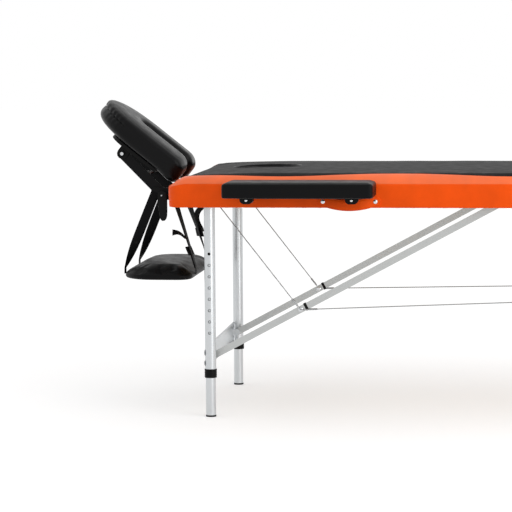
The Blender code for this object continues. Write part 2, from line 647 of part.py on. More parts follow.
def make_leg_hanger(end, side, parent, paint):
    """A steel angle under the deck, its cheek beside the leg, with the pivot bolt and its nut."""
    x, y = leg_axis(end, side)
    cheek = LEG_SPREAD[end] + LEG_RADIUS + HANGER_GAP
    outer = cheek + HANGER_THICKNESS
    flange_bottom = RAIL_TOP - HANGER_THICKNESS
    profile = [
        (cheek, LEG_PIVOT_HEIGHT - HANGER_DROP),
        (outer, LEG_PIVOT_HEIGHT - HANGER_DROP),
        (outer, flange_bottom),
        (outer + HANGER_FLANGE - HANGER_THICKNESS, flange_bottom),
        (outer + HANGER_FLANGE - HANGER_THICKNESS, RAIL_TOP),
        (cheek, RAIL_TOP),
    ]
    angle = prism(
        bmesh.new(), [(side * a, b) for a, b in profile], "X", x - HANGER_LENGTH / 2, x + HANGER_LENGTH / 2
    )
    name = f"{END_NAMES[end]}_{SIDE_NAMES[side]}_leg_hanger"
    hanger = mesh_object(name, angle, parent, paint["steel"])
    nut_face = LEG_SPREAD[end] - LEG_RADIUS - FIT_GAP
    bolt = [(x, side * a, LEG_PIVOT_HEIGHT) for a in (nut_face - NUT_THICKNESS / 2, cheek + FUSE_OVERLAP)]
    fuse(hanger, rod(bmesh.new(), *bolt, PIVOT_BOLT_RADIUS), "bolt")
    nut = [(x, side * a, LEG_PIVOT_HEIGHT) for a in (nut_face - NUT_THICKNESS, nut_face)]
    fuse(hanger, rod(bmesh.new(), *nut, NUT_RADIUS, 6), "nut")


def brace_layers(end):
    """Where each layer of the brace lies across the table: the foot's ear, the two bars, the top ear."""
    ear = BRACE_SPREAD[end]
    lower = ear + BRACE_EAR_THICKNESS + BRACE_GAP
    upper = lower + BRACE_THICKNESS + BRACE_GAP
    top_ear = upper + BRACE_THICKNESS + BRACE_GAP
    return {
        "foot_ear": (ear, ear + BRACE_EAR_THICKNESS),
        "lower": (lower, lower + BRACE_THICKNESS),
        "upper": (upper, upper + BRACE_THICKNESS),
        "top_ear": (top_ear, top_ear + BRACE_EAR_THICKNESS),
    }


def brace_points(end):
    """The brace's foot, knuckle and top at rest, in distance from the fold and height.

    Folded, the foot lies between the knuckle and the top on one line, so the lower bar is half of
    what the brace loses in length."""
    foot = Vector((BRACE_FOOT_FROM_FOLD, CHANNEL_MIDDLE[end]))
    top = Vector((BRACE_TOP_FROM_FOLD, BRACE_TOP_HEIGHT))
    leg_part = LEG_PIVOT_HEIGHT - CHANNEL_MIDDLE[end]
    folded_foot = Vector((LEG_FROM_FOLD - leg_part, LEG_PIVOT_HEIGHT - BRACE_FOOT_OFFSET))
    lower_length = ((foot - top).length - (folded_foot - top).length) / 2
    knuckle = foot + (top - foot).normalized() * lower_length
    return {"foot": foot, "knuckle": knuckle, "top": top, "folded_foot": folded_foot}


def brace_angles(end):
    """How far each bar turns as the leg folds by a quarter turn: the lower one against the leg."""
    points = brace_points(end)
    rise = points["top"] - points["foot"]
    slope = atan2(rise.y, -rise.x)
    flat = points["folded_foot"] - points["top"]
    tip = atan2(flat.y, flat.x)
    return {"lower": pi / 2 - slope - tip, "upper": slope + tip}


def make_channel(end, legs, paint):
    """A channel with a rolled top edge between the legs, with an ear and a bolt for each brace."""
    back = LEG_FROM_FOLD + CHANNEL_SETBACK
    front = back - CHANNEL_DEPTH
    low = CHANNEL_MIDDLE[end] - CHANNEL_HEIGHT / 2
    high = CHANNEL_MIDDLE[end] + CHANNEL_HEIGHT / 2
    wall = CHANNEL_WALL
    bead = CHANNEL_BEAD_RADIUS
    outline = [(front, low), (back, low)] + arc((back - bead, high - bead), bead, 0, pi, ARC_STEPS)
    outline += [(back - 2 * bead, high - 2 * bead), (back - wall, high - 3 * bead)]
    outline += [(back - wall, low + wall), (front, low + wall)]
    reach = LEG_SPREAD[end] - LEG_RADIUS - FIT_GAP
    channel = prism(bmesh.new(), [(end * a, b) for a, b in outline], "Y", -reach, reach)
    piece = mesh_object(f"{END_NAMES[end]}_cross_channel", channel, legs, paint["aluminium"])
    layers = brace_layers(end)
    foot = brace_points(end)["foot"]
    ears = bmesh.new()
    bolts = bmesh.new()
    for side in (NEAR, FAR):
        shape = stadium((end * (back - wall / 2), foot.y), (end * foot.x, foot.y), BRACE_EAR_RADIUS)
        shape = [(end * min(end * a, back - FUSE_OVERLAP), b) for a, b in shape]
        prism(ears, shape, "Y", *sorted(side * y for y in layers["foot_ear"]))
        ear, lower = layers["foot_ear"], layers["lower"]
        ends = [(end * foot.x, side * y, foot.y) for y in (ear[0] + FUSE_OVERLAP, lower[1])]
        rod(bolts, *ends, BRACE_PIN_RADIUS)
    fuse(piece, ears, "ears")
    fuse(piece, bolts, "bolts")


def make_brace_hanger(end, parent, paint):
    """A strip under the deck by the fold, with an ear and a pin for each upper bar."""
    layers = brace_layers(end)
    top = brace_points(end)["top"]
    reach = layers["top_ear"][1]
    start = RAIL_OUTSET + RAIL_THICKNESS + FOLD_FACE + FIT_GAP
    x = sorted((end * start, end * (start + HANGER_STRIP_WIDTH)))
    strip = box(bmesh.new(), x, (-reach, reach), (RAIL_TOP - HANGER_STRIP_THICKNESS, RAIL_TOP))
    hanger = mesh_object(f"{END_NAMES[end]}_brace_hanger", strip, parent, paint["steel"])
    ears = bmesh.new()
    pins = bmesh.new()
    for side in (NEAR, FAR):
        strip_end = (end * top.x, RAIL_TOP - BRACE_EAR_RADIUS)
        shape = stadium((end * top.x, top.y), strip_end, BRACE_EAR_RADIUS)
        shape = [(a, min(b, RAIL_TOP - FUSE_OVERLAP)) for a, b in shape]
        ear = [side * y for y in layers["top_ear"]]
        prism(ears, shape, "Y", *sorted((ear[0], ear[1] - side * FIT_GAP)))
        ends = [(end * top.x, y, top.y) for y in (side * layers["upper"][0], ear[0] + side * FUSE_OVERLAP)]
        rod(pins, *ends, BRACE_PIN_RADIUS)
    fuse(hanger, ears, "ears")
    fuse(hanger, pins, "pins")


def make_bar(name, start, end, layer, side, head_outward, parent, paint):
    """A flat bar with round ends, drilled at its start, with the knuckle rivet's head at its end."""
    y = sorted(side * v for v in layer)
    blank = prism(bmesh.new(), stadium(start, end, BRACE_WIDTH / 2), "Y", *y)
    bar = mesh_object(name, blank, parent, paint["grey_bar"])
    hole = [(start[0], v + step * CUT_OVERRUN, start[1]) for v, step in zip(y, (-1, 1))]
    cut(bar, rod(bmesh.new(), *hole, BRACE_HOLE_RADIUS), "pivot_hole")
    face = layer[1] if head_outward else layer[0]
    step = 1 if head_outward else -1
    rivet = [
        (end[0], side * (face - step * FUSE_OVERLAP), end[1]),
        (end[0], side * (face + step * RIVET_HEAD_THICKNESS), end[1]),
    ]
    fuse(bar, rod(bmesh.new(), *rivet, RIVET_HEAD_RADIUS), "rivet")
    return bar


def make_braces(end, half, legs, paint):
    """Upper bars hang from the half, lower bars stand on the leg frame; the knuckle is left open."""
    name = END_NAMES[end]
    layers = brace_layers(end)
    points = {key: (end * p.x, p.y) for key, p in brace_points(end).items()}
    upper = empty(f"{name}_upper_braces", (points["top"][0], 0, points["top"][1]), half)
    lower = empty(f"{name}_lower_braces", (points["foot"][0], 0, points["foot"][1]), legs)
    for side in (NEAR, FAR):
        tag = f"{name}_{SIDE_NAMES[side]}"
        knuckle = points["knuckle"]
        make_bar(f"{tag}_upper_brace", points["top"], knuckle, layers["upper"], side, True, upper, paint)
        make_bar(f"{tag}_lower_brace", points["foot"], knuckle, layers["lower"], side, False, lower, paint)


def make_cable(side, parent, paint):
    """One wire a side: from the head's leg hanger to both knuckles and up to the foot's leg hanger."""
    points = []
    for end in (HEAD, FOOT):
        knuckle = brace_points(end)["knuckle"]
        rivet_face = brace_layers(end)["upper"][1] + RIVET_HEAD_THICKNESS
        nut_face = LEG_SPREAD[end] - LEG_RADIUS - FIT_GAP - NUT_THICKNESS
        anchor = Vector((end * LEG_FROM_FOLD, side * (nut_face - FIT_GAP - CABLE_RADIUS), LEG_PIVOT_HEIGHT))
        bend = Vector((end * knuckle.x, side * (rivet_face + CABLE_CLEARANCE + CABLE_RADIUS), knuckle.y))
        points += [anchor, bend] if end == HEAD else [bend, anchor]
    curve = bpy.data.curves.new(f"cable_{SIDE_NAMES[side]}", "CURVE")
    curve.dimensions = "3D"
    curve.bevel_depth = CABLE_RADIUS
    curve.bevel_resolution = 2
    curve.use_fill_caps = True
    spline = curve.splines.new("POLY")
    spline.points.add(len(points) - 1)
    for slot, point in zip(spline.points, points):
        slot.co = (*point, 1)
    wire = bpy.data.objects.new(f"cable_{SIDE_NAMES[side]}", curve)
    bpy.context.collection.objects.link(wire)
    wire.parent = parent
    wire.location = -Vector(parent["place"])
    curve.materials.append(paint["steel"])


def make_handle(end, parent, paint):
    """A vinyl strap held by two cap screws; it bulges from the side and droops below the edge."""
    face = HALF_WIDTH + HANDLE_STANDOFF[end]
    half_pitch = HANDLE_PITCH / 2
    reach = half_pitch + HANDLE_TAB
    middle = UNDERSIDE_HEIGHT + HANDLE_BOLT_ABOVE_UNDERSIDE
    loops = []
    for step in range(HANDLE_STEPS + 1):
        along = -reach + 2 * reach * step / HANDLE_STEPS
        lift = max(cos(pi / 2 * min(abs(along) / half_pitch, 1)), 0)
        out = face + HANDLE_BULGE[end] * min(lift / HANDLE_SHOULDER_SHARE, 1)
        height = middle - HANDLE_DROOP * lift
        x = end * HANDLE_FROM_FOLD + along
        low, high = height - HANDLE_HEIGHT / 2, height + HANDLE_HEIGHT / 2
        outer = out + HANDLE_THICKNESS
        loops.append([(x, -out, low), (x, -out, high), (x, -outer, high), (x, -outer, low)])
    strap = mesh_object(f"{END_NAMES[end]}_handle", loft(bmesh.new(), loops), parent, paint["orange_vinyl"])
    caps = bmesh.new()
    for step in (-1, 1):
        x = end * HANDLE_FROM_FOLD + step * half_pitch
        inner = -(HALF_WIDTH + FIT_GAP)
        outer = -(face + HANDLE_THICKNESS + HANDLE_CAP_THICKNESS)
        rod(caps, (x, outer, middle), (x, inner, middle), HANDLE_CAP_RADIUS)
    fuse(strap, caps, "cap_screws")


def soft_block(plan_at, bottom, thickness, edge, crown, steps=3):
    """A pad with a tighter edge below than above and a slight crown; plan_at(inset) gives its outline."""
    loops = []
    foot = edge * SOFT_FOOT_SHARE
    for i in range(steps + 1):
        angle = pi / 2 * i / steps
        loops.append(at_height(plan_at(foot * (1 - sin(angle))), bottom + foot * (1 - cos(angle))))
    for i in range(steps + 1):
        angle = pi / 2 * i / steps
        height = bottom + thickness - crown - edge * (1 - sin(angle))
        loops.append(at_height(plan_at(edge * (1 - cos(angle))), height))
    loops.append(at_height(plan_at(3 * edge), bottom + thickness))
    return loft(bmesh.new(), loops)


def make_armrest(side, parent, paint):
    """A padded bar over a carrier of two rods, a plate and two plastic blocks."""
    name = f"armrest_{SIDE_NAMES[side]}"
    inner = HALF_WIDTH + ARMREST_SIDE_GAP
    bottom = UNDERSIDE_HEIGHT + ARMREST_ABOVE_UNDERSIDE
    rod_height = UNDERSIDE_HEIGHT + ARMREST_ROD_ABOVE_UNDERSIDE
    slide = empty(f"{name}_slide", (-ARMREST_FROM_FOLD, side * inner, rod_height), parent)

    def plan_at(inset):
        reach = ARMREST_LENGTH / 2 - inset
        x = (-ARMREST_FROM_FOLD - reach, -ARMREST_FROM_FOLD + reach)
        y = sorted((side * (inner + inset), side * (inner + ARMREST_WIDTH - inset)))
        radius = max(ARMREST_CORNER - inset / 3, ARMREST_CORNER / 3)
        return rounded_box((x[0], y[0]), (x[1], y[1]), (radius,) * 4, 4)

    pad = soft_block(plan_at, bottom, ARMREST_THICKNESS, ARMREST_EDGE, ARMREST_CROWN)
    mesh_object(f"{name}_pad", pad, slide, paint["black_vinyl"])
    plate_top = bottom - FIT_GAP
    plate_bottom = plate_top - ARMREST_PLATE_THICKNESS
    reach = inner + ARMREST_ROD_REACH
    places = armrest_rod_places()
    x = (-places[1] - ARMREST_PLATE_OVERHANG, -places[0] + ARMREST_PLATE_OVERHANG)
    y = sorted((side * (reach - ARMREST_PLATE_WIDTH), side * reach))
    carrier = mesh_object(
        f"{name}_carrier", box(bmesh.new(), x, y, (plate_bottom, plate_top)), slide, paint["black_plastic"]
    )
    blocks = bmesh.new()
    rods = bmesh.new()
    block_middle = reach - ARMREST_PLATE_WIDTH / 2
    for u in places:
        low = (-u - ARMREST_BLOCK_LENGTH / 2, rod_height - ARMREST_BLOCK_DROP)
        high = (-u + ARMREST_BLOCK_LENGTH / 2, plate_bottom + FUSE_OVERLAP)
        block_y = sorted(side * (block_middle + step * ARMREST_BLOCK_WIDTH / 2) for step in (-1, 1))
        corners = (ARMREST_BLOCK_CORNER, ARMREST_BLOCK_CORNER, FIT_GAP, FIT_GAP)
        prism(blocks, rounded_box(low, high, corners, 5), "Y", *block_y)
        start = (-u, side * (HALF_WIDTH - ARMREST_ROD_INSERTION), rod_height)
        rod(rods, start, (-u, side * block_middle, rod_height), ARMREST_ROD_RADIUS)
    fuse(carrier, blocks, "blocks")
    fuse(carrier, rods, "rods")


def make_headrest_base(base, paint):
    """Two rods in the end rail, a side plate on each and the pivot rod across."""
    rods = bmesh.new()
    plate_x = (-HALF_LENGTH - BASE_PLATE_START - BASE_PLATE_LENGTH, -HALF_LENGTH - BASE_PLATE_START)
    plate_z = (HEAD_PIVOT.z - BASE_PLATE_DROP, HEAD_PIVOT.z - BASE_PLATE_DROP + BASE_PLATE_HEIGHT)
    near_end = (HEAD_PIVOT.x, -LEVER_FACE - LEVER_THICKNESS - FIT_GAP, HEAD_PIVOT.z)
    far_end = (HEAD_PIVOT.x, LEVER_FACE, HEAD_PIVOT.z)
    pivot = rod(bmesh.new(), near_end, far_end, HEAD_PIVOT_ROD_RADIUS)
    piece = mesh_object("headrest_base", pivot, base, paint["black_plastic"])
    plates = bmesh.new()
    for side in (NEAR, FAR):
        y = sorted(side * (BASE_ROD_SPREAD + step * BASE_PLATE_THICKNESS / 2) for step in (-1, 1))
        corners = [(plate_x[i], plate_z[i]) for i in (0, 1)]
        outline = rounded_box(*corners, (BASE_PLATE_CORNER,) * 4, 3)
        prism(plates, outline, "Y", *y)
        start = (-HALF_LENGTH + BASE_ROD_INSERTION, side * BASE_ROD_SPREAD, BASE_ROD_HEIGHT)
        end = (plate_x[1] - BASE_PLATE_LENGTH / 3, side * BASE_ROD_SPREAD, BASE_ROD_HEIGHT)
        rod(rods, start, end, BASE_ROD_RADIUS)
    fuse(piece, plates, "plates")
    fuse(piece, rods, "rods")


def make_headrest_arm(arm, paint):
    """Two plates that turn on the pivot rod, a tube between them and a tilt bolt in each."""
    inner = ARM_PLATE_OUTER - ARM_PLATE_THICKNESS
    outline = stadium((HEAD_PIVOT.x, HEAD_PIVOT.z), (TILT_PIVOT.x, TILT_PIVOT.z), ARM_PLATE_WIDTH / 2)
    middle = HEAD_PIVOT.lerp(TILT_PIVOT, ARM_TUBE_SHARE)
    reach = inner + FUSE_OVERLAP
    tube = rod(bmesh.new(), (middle.x, -reach, middle.z), (middle.x, reach, middle.z), ARM_TUBE_RADIUS)
    piece = mesh_object("headrest_arm", tube, arm, paint["black_plastic"])
    plates = bmesh.new()
    bolts = bmesh.new()
    heads = bmesh.new()
    bolt_end = ARM_PLATE_OUTER + LUG_GAP + LUG_THICKNESS + LUG_GAP
    for side in (NEAR, FAR):
        prism(plates, outline, "Y", *sorted((side * inner, side * ARM_PLATE_OUTER)))
        start = (TILT_PIVOT.x, side * (inner + FUSE_OVERLAP), TILT_PIVOT.z)
        rod(bolts, start, (TILT_PIVOT.x, side * (bolt_end + FUSE_OVERLAP), TILT_PIVOT.z), TILT_BOLT_RADIUS)
        face = (TILT_PIVOT.x, side * bolt_end, TILT_PIVOT.z)
        crown = (TILT_PIVOT.x, side * (bolt_end + TILT_BOLT_HEAD_THICKNESS), TILT_PIVOT.z)
        rod(heads, face, crown, TILT_BOLT_HEAD_RADIUS)
    fuse(piece, plates, "plates")
    fuse(piece, bolts, "bolts")
    fuse(piece, heads, "heads")
    reach = ARM_PLATE_OUTER + CUT_OVERRUN
    hole = rod(
        bmesh.new(), (HEAD_PIVOT.x, -reach, HEAD_PIVOT.z), (HEAD_PIVOT.x, reach, HEAD_PIVOT.z),
        HEAD_PIVOT_ROD_RADIUS + PIVOT_CLEARANCE,
    )
    cut(piece, hole, "pivot_hole")


def tilted(bm):
    """Turns what was drawn level about the tilt bolt, and sets it there."""
    place = Matrix.Translation(TILT_PIVOT) @ Matrix.Rotation(CUSHION_TILT, 4, "Y")
    bmesh.ops.transform(bm, matrix=place, verts=bm.verts)
    return bm


def make_platform(platform, paint):
    """A board with a slot for the face and a lug beside each arm plate."""
    top = CUSHION_LIFT - FIT_GAP
    bottom = top - PLATFORM_THICKNESS
    half = PLATFORM_WIDTH / 2
    slot = PLATFORM_SLOT_WIDTH / 2
    outer = PLATFORM_CORNER
    outline = arc((-PLATFORM_OUTER_REACH + outer, half - outer), outer, pi / 2, pi, ARC_STEPS)
    outline += arc((-PLATFORM_OUTER_REACH + outer, -half + outer), outer, pi, pi * 3 / 2, ARC_STEPS)
    outline += [(PLATFORM_INNER_REACH, -half), (PLATFORM_INNER_REACH, -slot)]
    outline += arc((PLATFORM_SLOT_REACH, 0), slot, pi * 3 / 2, pi / 2, ARC_STEPS)
    outline += [(PLATFORM_INNER_REACH, slot), (PLATFORM_INNER_REACH, half)]
    board = tilted(prism(bmesh.new(), outline, "Z", bottom, top))
    piece = mesh_object("headrest_platform", board, platform, paint["black_plastic"])
    lugs = bmesh.new()
    inner = ARM_PLATE_OUTER + LUG_GAP
    for side in (NEAR, FAR):
        y = sorted((side * inner, side * (inner + LUG_THICKNESS)))
        shape = stadium((0, 0), (0, bottom + FUSE_OVERLAP), LUG_WIDTH / 2)
        shape = [(a, min(b, bottom + FUSE_OVERLAP)) for a, b in shape]
        prism(lugs, shape, "Y", *y)
    fuse(piece, tilted(lugs), "lugs")
    reach = inner + LUG_THICKNESS + CUT_OVERRUN
    hole = rod(bmesh.new(), (0, -reach, 0), (0, reach, 0), TILT_BOLT_RADIUS + PIVOT_CLEARANCE)
    cut(piece, tilted(hole), "bolt_hole")


def cushion_path():
    """Stations along the horseshoe: place, heading across it, and how full the section is."""
    lane = (CUSHION_WIDTH - CUSHION_LOBE_WIDTH) / 2
    bend = -CUSHION_OUTER_REACH + CUSHION_WIDTH / 2
    nose_steps = 4
    arm = []
    for i in range(nose_steps):
        angle = pi / 2 * (i + 0.35) / nose_steps
        arm.append((CUSHION_INNER_REACH - CUSHION_NOSE * (1 - cos(pi / 2 - angle)), sin(angle)))
    arm.append((CUSHION_INNER_REACH - CUSHION_NOSE, 1))
    arm.append(((CUSHION_INNER_REACH - CUSHION_NOSE + bend) / 2, 1))
    stations = [((along, -lane), (0, -1), full) for along, full in arm]
    bend_steps = 10
    for i in range(bend_steps + 1):
        angle = -pi / 2 - pi * i / bend_steps
        heading = (cos(angle), sin(angle))
        stations.append(((bend + lane * heading[0], lane * heading[1]), heading, 1))
    stations += [((along, lane), (0, 1), full) for along, full in reversed(arm)]
    return stations


def cushion_section(step):
    """A point of a soft rectangle, in shares of its half sizes."""
    angle = 2 * pi * step / CUSHION_SIDES
    widest = cos(2 * pi / CUSHION_SIDES) ** CUSHION_SQUARENESS_SHARE
    across = min(abs(cos(angle)) ** CUSHION_SQUARENESS_SHARE / widest, 1)
    up = abs(sin(angle)) ** CUSHION_SQUARENESS_SHARE
    return copysign(across, cos(angle)), copysign(up, sin(angle))


def make_cushion(platform, paint):
    """The horseshoe: one section swept round, open towards the table, with a drawn-in seam."""
    loops = []
    half_width = CUSHION_LOBE_WIDTH / 2
    half_height = CUSHION_THICKNESS / 2
    middle = CUSHION_LIFT + half_height
    for place, heading, full in cushion_path():
        loop = []
        for i in range(CUSHION_SIDES):
            across, up = cushion_section(i)
            seam = CUSHION_SEAM_DEPTH if i in (0, CUSHION_SIDES // 2) else 0
            out = (half_width * full - seam) * across
            height = middle + half_height * full * up
            loop.append((place[0] + out * heading[0], place[1] + out * heading[1], height))
        loops.append(loop)
    mesh_object("headrest_cushion", tilted(loft(bmesh.new(), loops)), platform, paint["black_vinyl"])


def make_lever(lever, paint):
    """A flat cam lever that hangs from the near end of the pivot rod."""
    y = (-LEVER_FACE - LEVER_THICKNESS, -LEVER_FACE)
    tip = (HEAD_PIVOT.x, HEAD_PIVOT.z - LEVER_LENGTH + LEVER_WIDTH / 2)
    outline = stadium((HEAD_PIVOT.x, HEAD_PIVOT.z), tip, LEVER_WIDTH / 2)
    blade = prism(bmesh.new(), outline, "Y", *y)
    piece = mesh_object("headrest_lever", blade, lever, paint["black_plastic"])
    bore_ends = [(HEAD_PIVOT.x, a, HEAD_PIVOT.z) for a in (y[0] - CUT_OVERRUN, y[1] + CUT_OVERRUN)]
    cut(piece, rod(bmesh.new(), *bore_ends, HEAD_PIVOT_ROD_RADIUS + PIVOT_CLEARANCE), "bore")


def make_shelf(base, paint):
    """A padded board, wide across the table, with large corners at its outer edge."""
    inner = -HALF_LENGTH + SHELF_UNDER_TABLE
    outer = inner - SHELF_LENGTH

    def plan_at(inset):
        low = (outer + inset, -SHELF_WIDTH / 2 + inset)
        high = (inner - inset, SHELF_WIDTH / 2 - inset)
        big, small = SHELF_OUTER_CORNER - inset, max(SHELF_INNER_CORNER - inset, SHELF_INNER_CORNER / 4)
        return rounded_box(low, high, (big, small, small, big))

    shelf = soft_block(plan_at, SHELF_HEIGHT, SHELF_THICKNESS, SHELF_EDGE, SHELF_CROWN)
    mesh_object("arm_shelf", shelf, base, paint["black_vinyl"])
    return inner, outer


def strap_stations(side, lean, top, foot_x):
    """Centre, way across and way out, down to the shelf's end; the web turns a quarter on its way."""
    middle = STRAP_INNER_FACE + STRAP_THICKNESS / 2
    knee = (foot_x, SHELF_HEIGHT + SHELF_THICKNESS - STRAP_KNEE_DROP)
    stations = []
    for step in range(STRAP_STEPS + 1):
        share = step / STRAP_STEPS
        turn = pi / 2 * share**2
        x, z = (top[i] + (knee[i] - top[i]) * share for i in (0, 1))
        y = middle + (STRAP_FOOT_SPREAD - middle) * share
        across = Vector((cos(turn), -lean * side * sin(turn), 0))
        out = Vector((lean * sin(turn), side * cos(turn), 0))
        stations.append((Vector((x, side * y, z)), across, out))
    foot = Vector((*stations[-1][0].xy, SHELF_HEIGHT + STRAP_FOOT_RISE))
    return [*stations, (foot, *stations[-1][1:])]


def web_section(station, half_width, outer):
    """A flat rectangle across the web, from its inner face out to an outer one."""
    centre, across, out = station
    inner = -STRAP_THICKNESS / 2
    corners = ((-half_width, inner), (half_width, inner), (half_width, outer), (-half_width, outer))
    return [tuple(centre + across * a + out * b) for a, b in corners]


def make_strap(name, stations, buckle_share, base, paint):
    """A flat web from a side plate to the end of the shelf, with a slide buckle where it has one."""
    loops = [web_section(station, STRAP_WIDTH / 2, STRAP_THICKNESS / 2) for station in stations]
    web = loft(bmesh.new(), loops)
    # the web's faces are twisted where it turns, so each is split into flat ones
    bmesh.ops.triangulate(web, faces=web.faces)
    strap = mesh_object(name, web, base, paint["webbing"])
    if buckle_share is None:
        return
    top, knee = stations[0][0], stations[-2][0]
    _, across, out = stations[round(buckle_share * STRAP_STEPS)]
    reach = (knee - top).normalized() * BUCKLE_LENGTH / 2
    middle = top.lerp(knee, buckle_share)
    ends = [(middle + reach * step, across, out) for step in (-1, 1)]
    loops = [web_section(end, BUCKLE_WIDTH / 2, BUCKLE_THICKNESS - STRAP_THICKNESS / 2) for end in ends]
    fuse(strap, loft(bmesh.new(), loops), "buckle")


def make_headrest(half, paint):
    """Base with shelf and straps, arm, platform with cushion, and the cam lever."""
    base = empty("headrest_slide", (-HALF_LENGTH, 0, BASE_ROD_HEIGHT), half)
    arm = empty("headrest_tilt", HEAD_PIVOT, base)
    platform = empty("platform_tilt", TILT_PIVOT, arm)
    lever = empty("lever_flip", HEAD_PIVOT, base)
    make_headrest_base(base, paint)
    make_headrest_arm(arm, paint)
    make_platform(platform, paint)
    make_cushion(platform, paint)
    make_lever(lever, paint)
    inner, outer = make_shelf(base, paint)
    strap_top = UNDERSIDE_HEIGHT + STRAP_TOP_ABOVE_UNDERSIDE
    clear = FIT_GAP + STRAP_THICKNESS / 2
    bare = {NEAR: None, FAR: None}
    buckled = {NEAR: NEAR_BUCKLE_SHARE, FAR: FAR_BUCKLE_SHARE}
    straps = {
        "outer": (-HALF_LENGTH - OUTER_STRAP_TOP_FROM_END, outer - clear, -1, bare),
        "inner": (-HALF_LENGTH - INNER_STRAP_TOP_FROM_END, inner + clear, 1, buckled),
    }
    for place, (top_x, foot_x, lean, buckles) in straps.items():
        for side in (NEAR, FAR):
            stations = strap_stations(side, lean, (top_x, strap_top), foot_x)
            make_strap(f"shelf_{place}_strap_{SIDE_NAMES[side]}", stations, buckles[side], base, paint)


def make_end(end, half, paint):
    """Everything on one half but the headrest and armrests."""
    make_top(end, half, paint)
    make_hinge_leaf(end, half, paint)
    legs = empty(f"{END_NAMES[end]}_leg_fold", (end * LEG_FROM_FOLD, 0, LEG_PIVOT_HEIGHT), half)
    for side in (NEAR, FAR):
        make_leg(end, side, legs, paint)
        make_leg_hanger(end, side, half, paint)
    make_channel(end, legs, paint)
    make_brace_hanger(end, half, paint)
    make_braces(end, half, legs, paint)
    make_handle(end, half, paint)


def main():
    clear_scene()
    paint = make_materials()
    table = empty("table_frame", (0, 0, 0))
    table.location.x = ORIGIN_SHIFT
    head = empty("head_half", (0, 0, 0), table)
    fold = empty("table_fold", (0, 0, HINGE_HEIGHT), table)
    make_end(HEAD, head, paint)
    make_end(FOOT, fold, paint)
    make_headrest(head, paint)
    for side in (NEAR, FAR):
        make_armrest(side, head, paint)
        make_cable(side, head, paint)
    bpy.context.view_layer.update()


if __name__ == "__main__":
    main()
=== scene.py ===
"""A folding massage table, dressed over its CAD frame. Metres, +Z up, head end towards -X, handles on -Y."""
from math import atan2, cos, exp, hypot, pi, radians, sin, sqrt

import bmesh
import bpy
from mathutils import Matrix, Vector, noise


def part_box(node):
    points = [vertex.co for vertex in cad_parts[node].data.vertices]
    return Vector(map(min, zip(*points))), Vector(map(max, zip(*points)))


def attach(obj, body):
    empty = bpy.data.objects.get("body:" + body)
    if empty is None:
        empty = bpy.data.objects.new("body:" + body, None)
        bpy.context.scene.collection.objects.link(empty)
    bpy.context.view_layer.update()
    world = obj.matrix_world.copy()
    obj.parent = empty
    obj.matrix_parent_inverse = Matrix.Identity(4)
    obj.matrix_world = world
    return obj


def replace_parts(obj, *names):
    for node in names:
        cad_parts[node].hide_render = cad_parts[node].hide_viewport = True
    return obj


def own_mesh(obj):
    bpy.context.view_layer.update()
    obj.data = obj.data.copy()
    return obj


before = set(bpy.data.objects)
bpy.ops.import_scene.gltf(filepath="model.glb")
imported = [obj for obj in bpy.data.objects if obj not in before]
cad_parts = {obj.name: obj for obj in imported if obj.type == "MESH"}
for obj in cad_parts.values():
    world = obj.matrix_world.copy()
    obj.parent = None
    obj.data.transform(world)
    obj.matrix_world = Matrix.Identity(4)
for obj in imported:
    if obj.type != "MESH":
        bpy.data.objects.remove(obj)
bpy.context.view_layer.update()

# The camera's place is worked out from the photograph: a long lens, level with the top and a little
# over it, turned and tipped to the crop. It has no shift, so it can be walked round the table.
fold_x = (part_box("head_pad")[1].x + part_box("foot_pad")[0].x) / 2
azimuth, elevation, roll = radians(7.11), radians(5.39), radians(-0.4)
camera_place = (fold_x - 0.003, -5.9, 0.9624)


def link_new(name, data):
    """An object of this data, linked to the scene."""
    made = bpy.data.objects.new(name, data)
    bpy.context.collection.objects.link(made)
    return made


lens = bpy.data.cameras.new("long lens")
lens.lens, lens.sensor_width, lens.clip_end = 152.0, 36, 60
camera = link_new("camera", lens)
turn = Matrix.Rotation(azimuth, 4, "Z") @ Matrix.Rotation(pi / 2 - elevation, 4, "X")
camera.matrix_world = Matrix.Translation(camera_place) @ turn @ Matrix.Rotation(roll, 4, "Z")
bpy.context.scene.camera = camera


# A white studio: an even white world that glossy surfaces mirror, two soft lamps at the right in
# front, one high and one low, and a pale floor that shows nothing but the table's soft shadow.
world_level, floor_glow, floor_side = 0.90, 0.41, 60
lamp_table = [("broad soft lamp", 48, 3.0, (2.9, -2.3, 2.6)), ("low soft lamp", 44, 2.4, (2.9, -3.6, 0.35))]
lamps_aim = Vector((0, 0, 0.5))


def linear(hexa):
    """An sRGB hex colour as linear red, green, blue and alpha."""
    channels = [int(hexa[i : i + 2], 16) / 255 for i in (0, 2, 4)]
    return (*[c / 12.92 if c <= 0.04045 else ((c + 0.055) / 1.055) ** 2.4 for c in channels], 1)


def add(tree, kind, inputs=(), **settings):
    """Adds a node; inputs maps a socket's name or number to a value or to another node's output."""
    node = tree.nodes.new(kind)
    for key, value in settings.items():
        setattr(node, key, value)
    for key, value in dict(inputs).items():
        if isinstance(value, bpy.types.NodeSocket):
            tree.links.new(value, node.inputs[key])
        else:
            node.inputs[key].default_value = value
    return node


def calc(tree, operation, *values):
    """A math node on values or outputs; gives its output."""
    return add(tree, "ShaderNodeMath", dict(enumerate(values)), operation=operation).outputs[0]


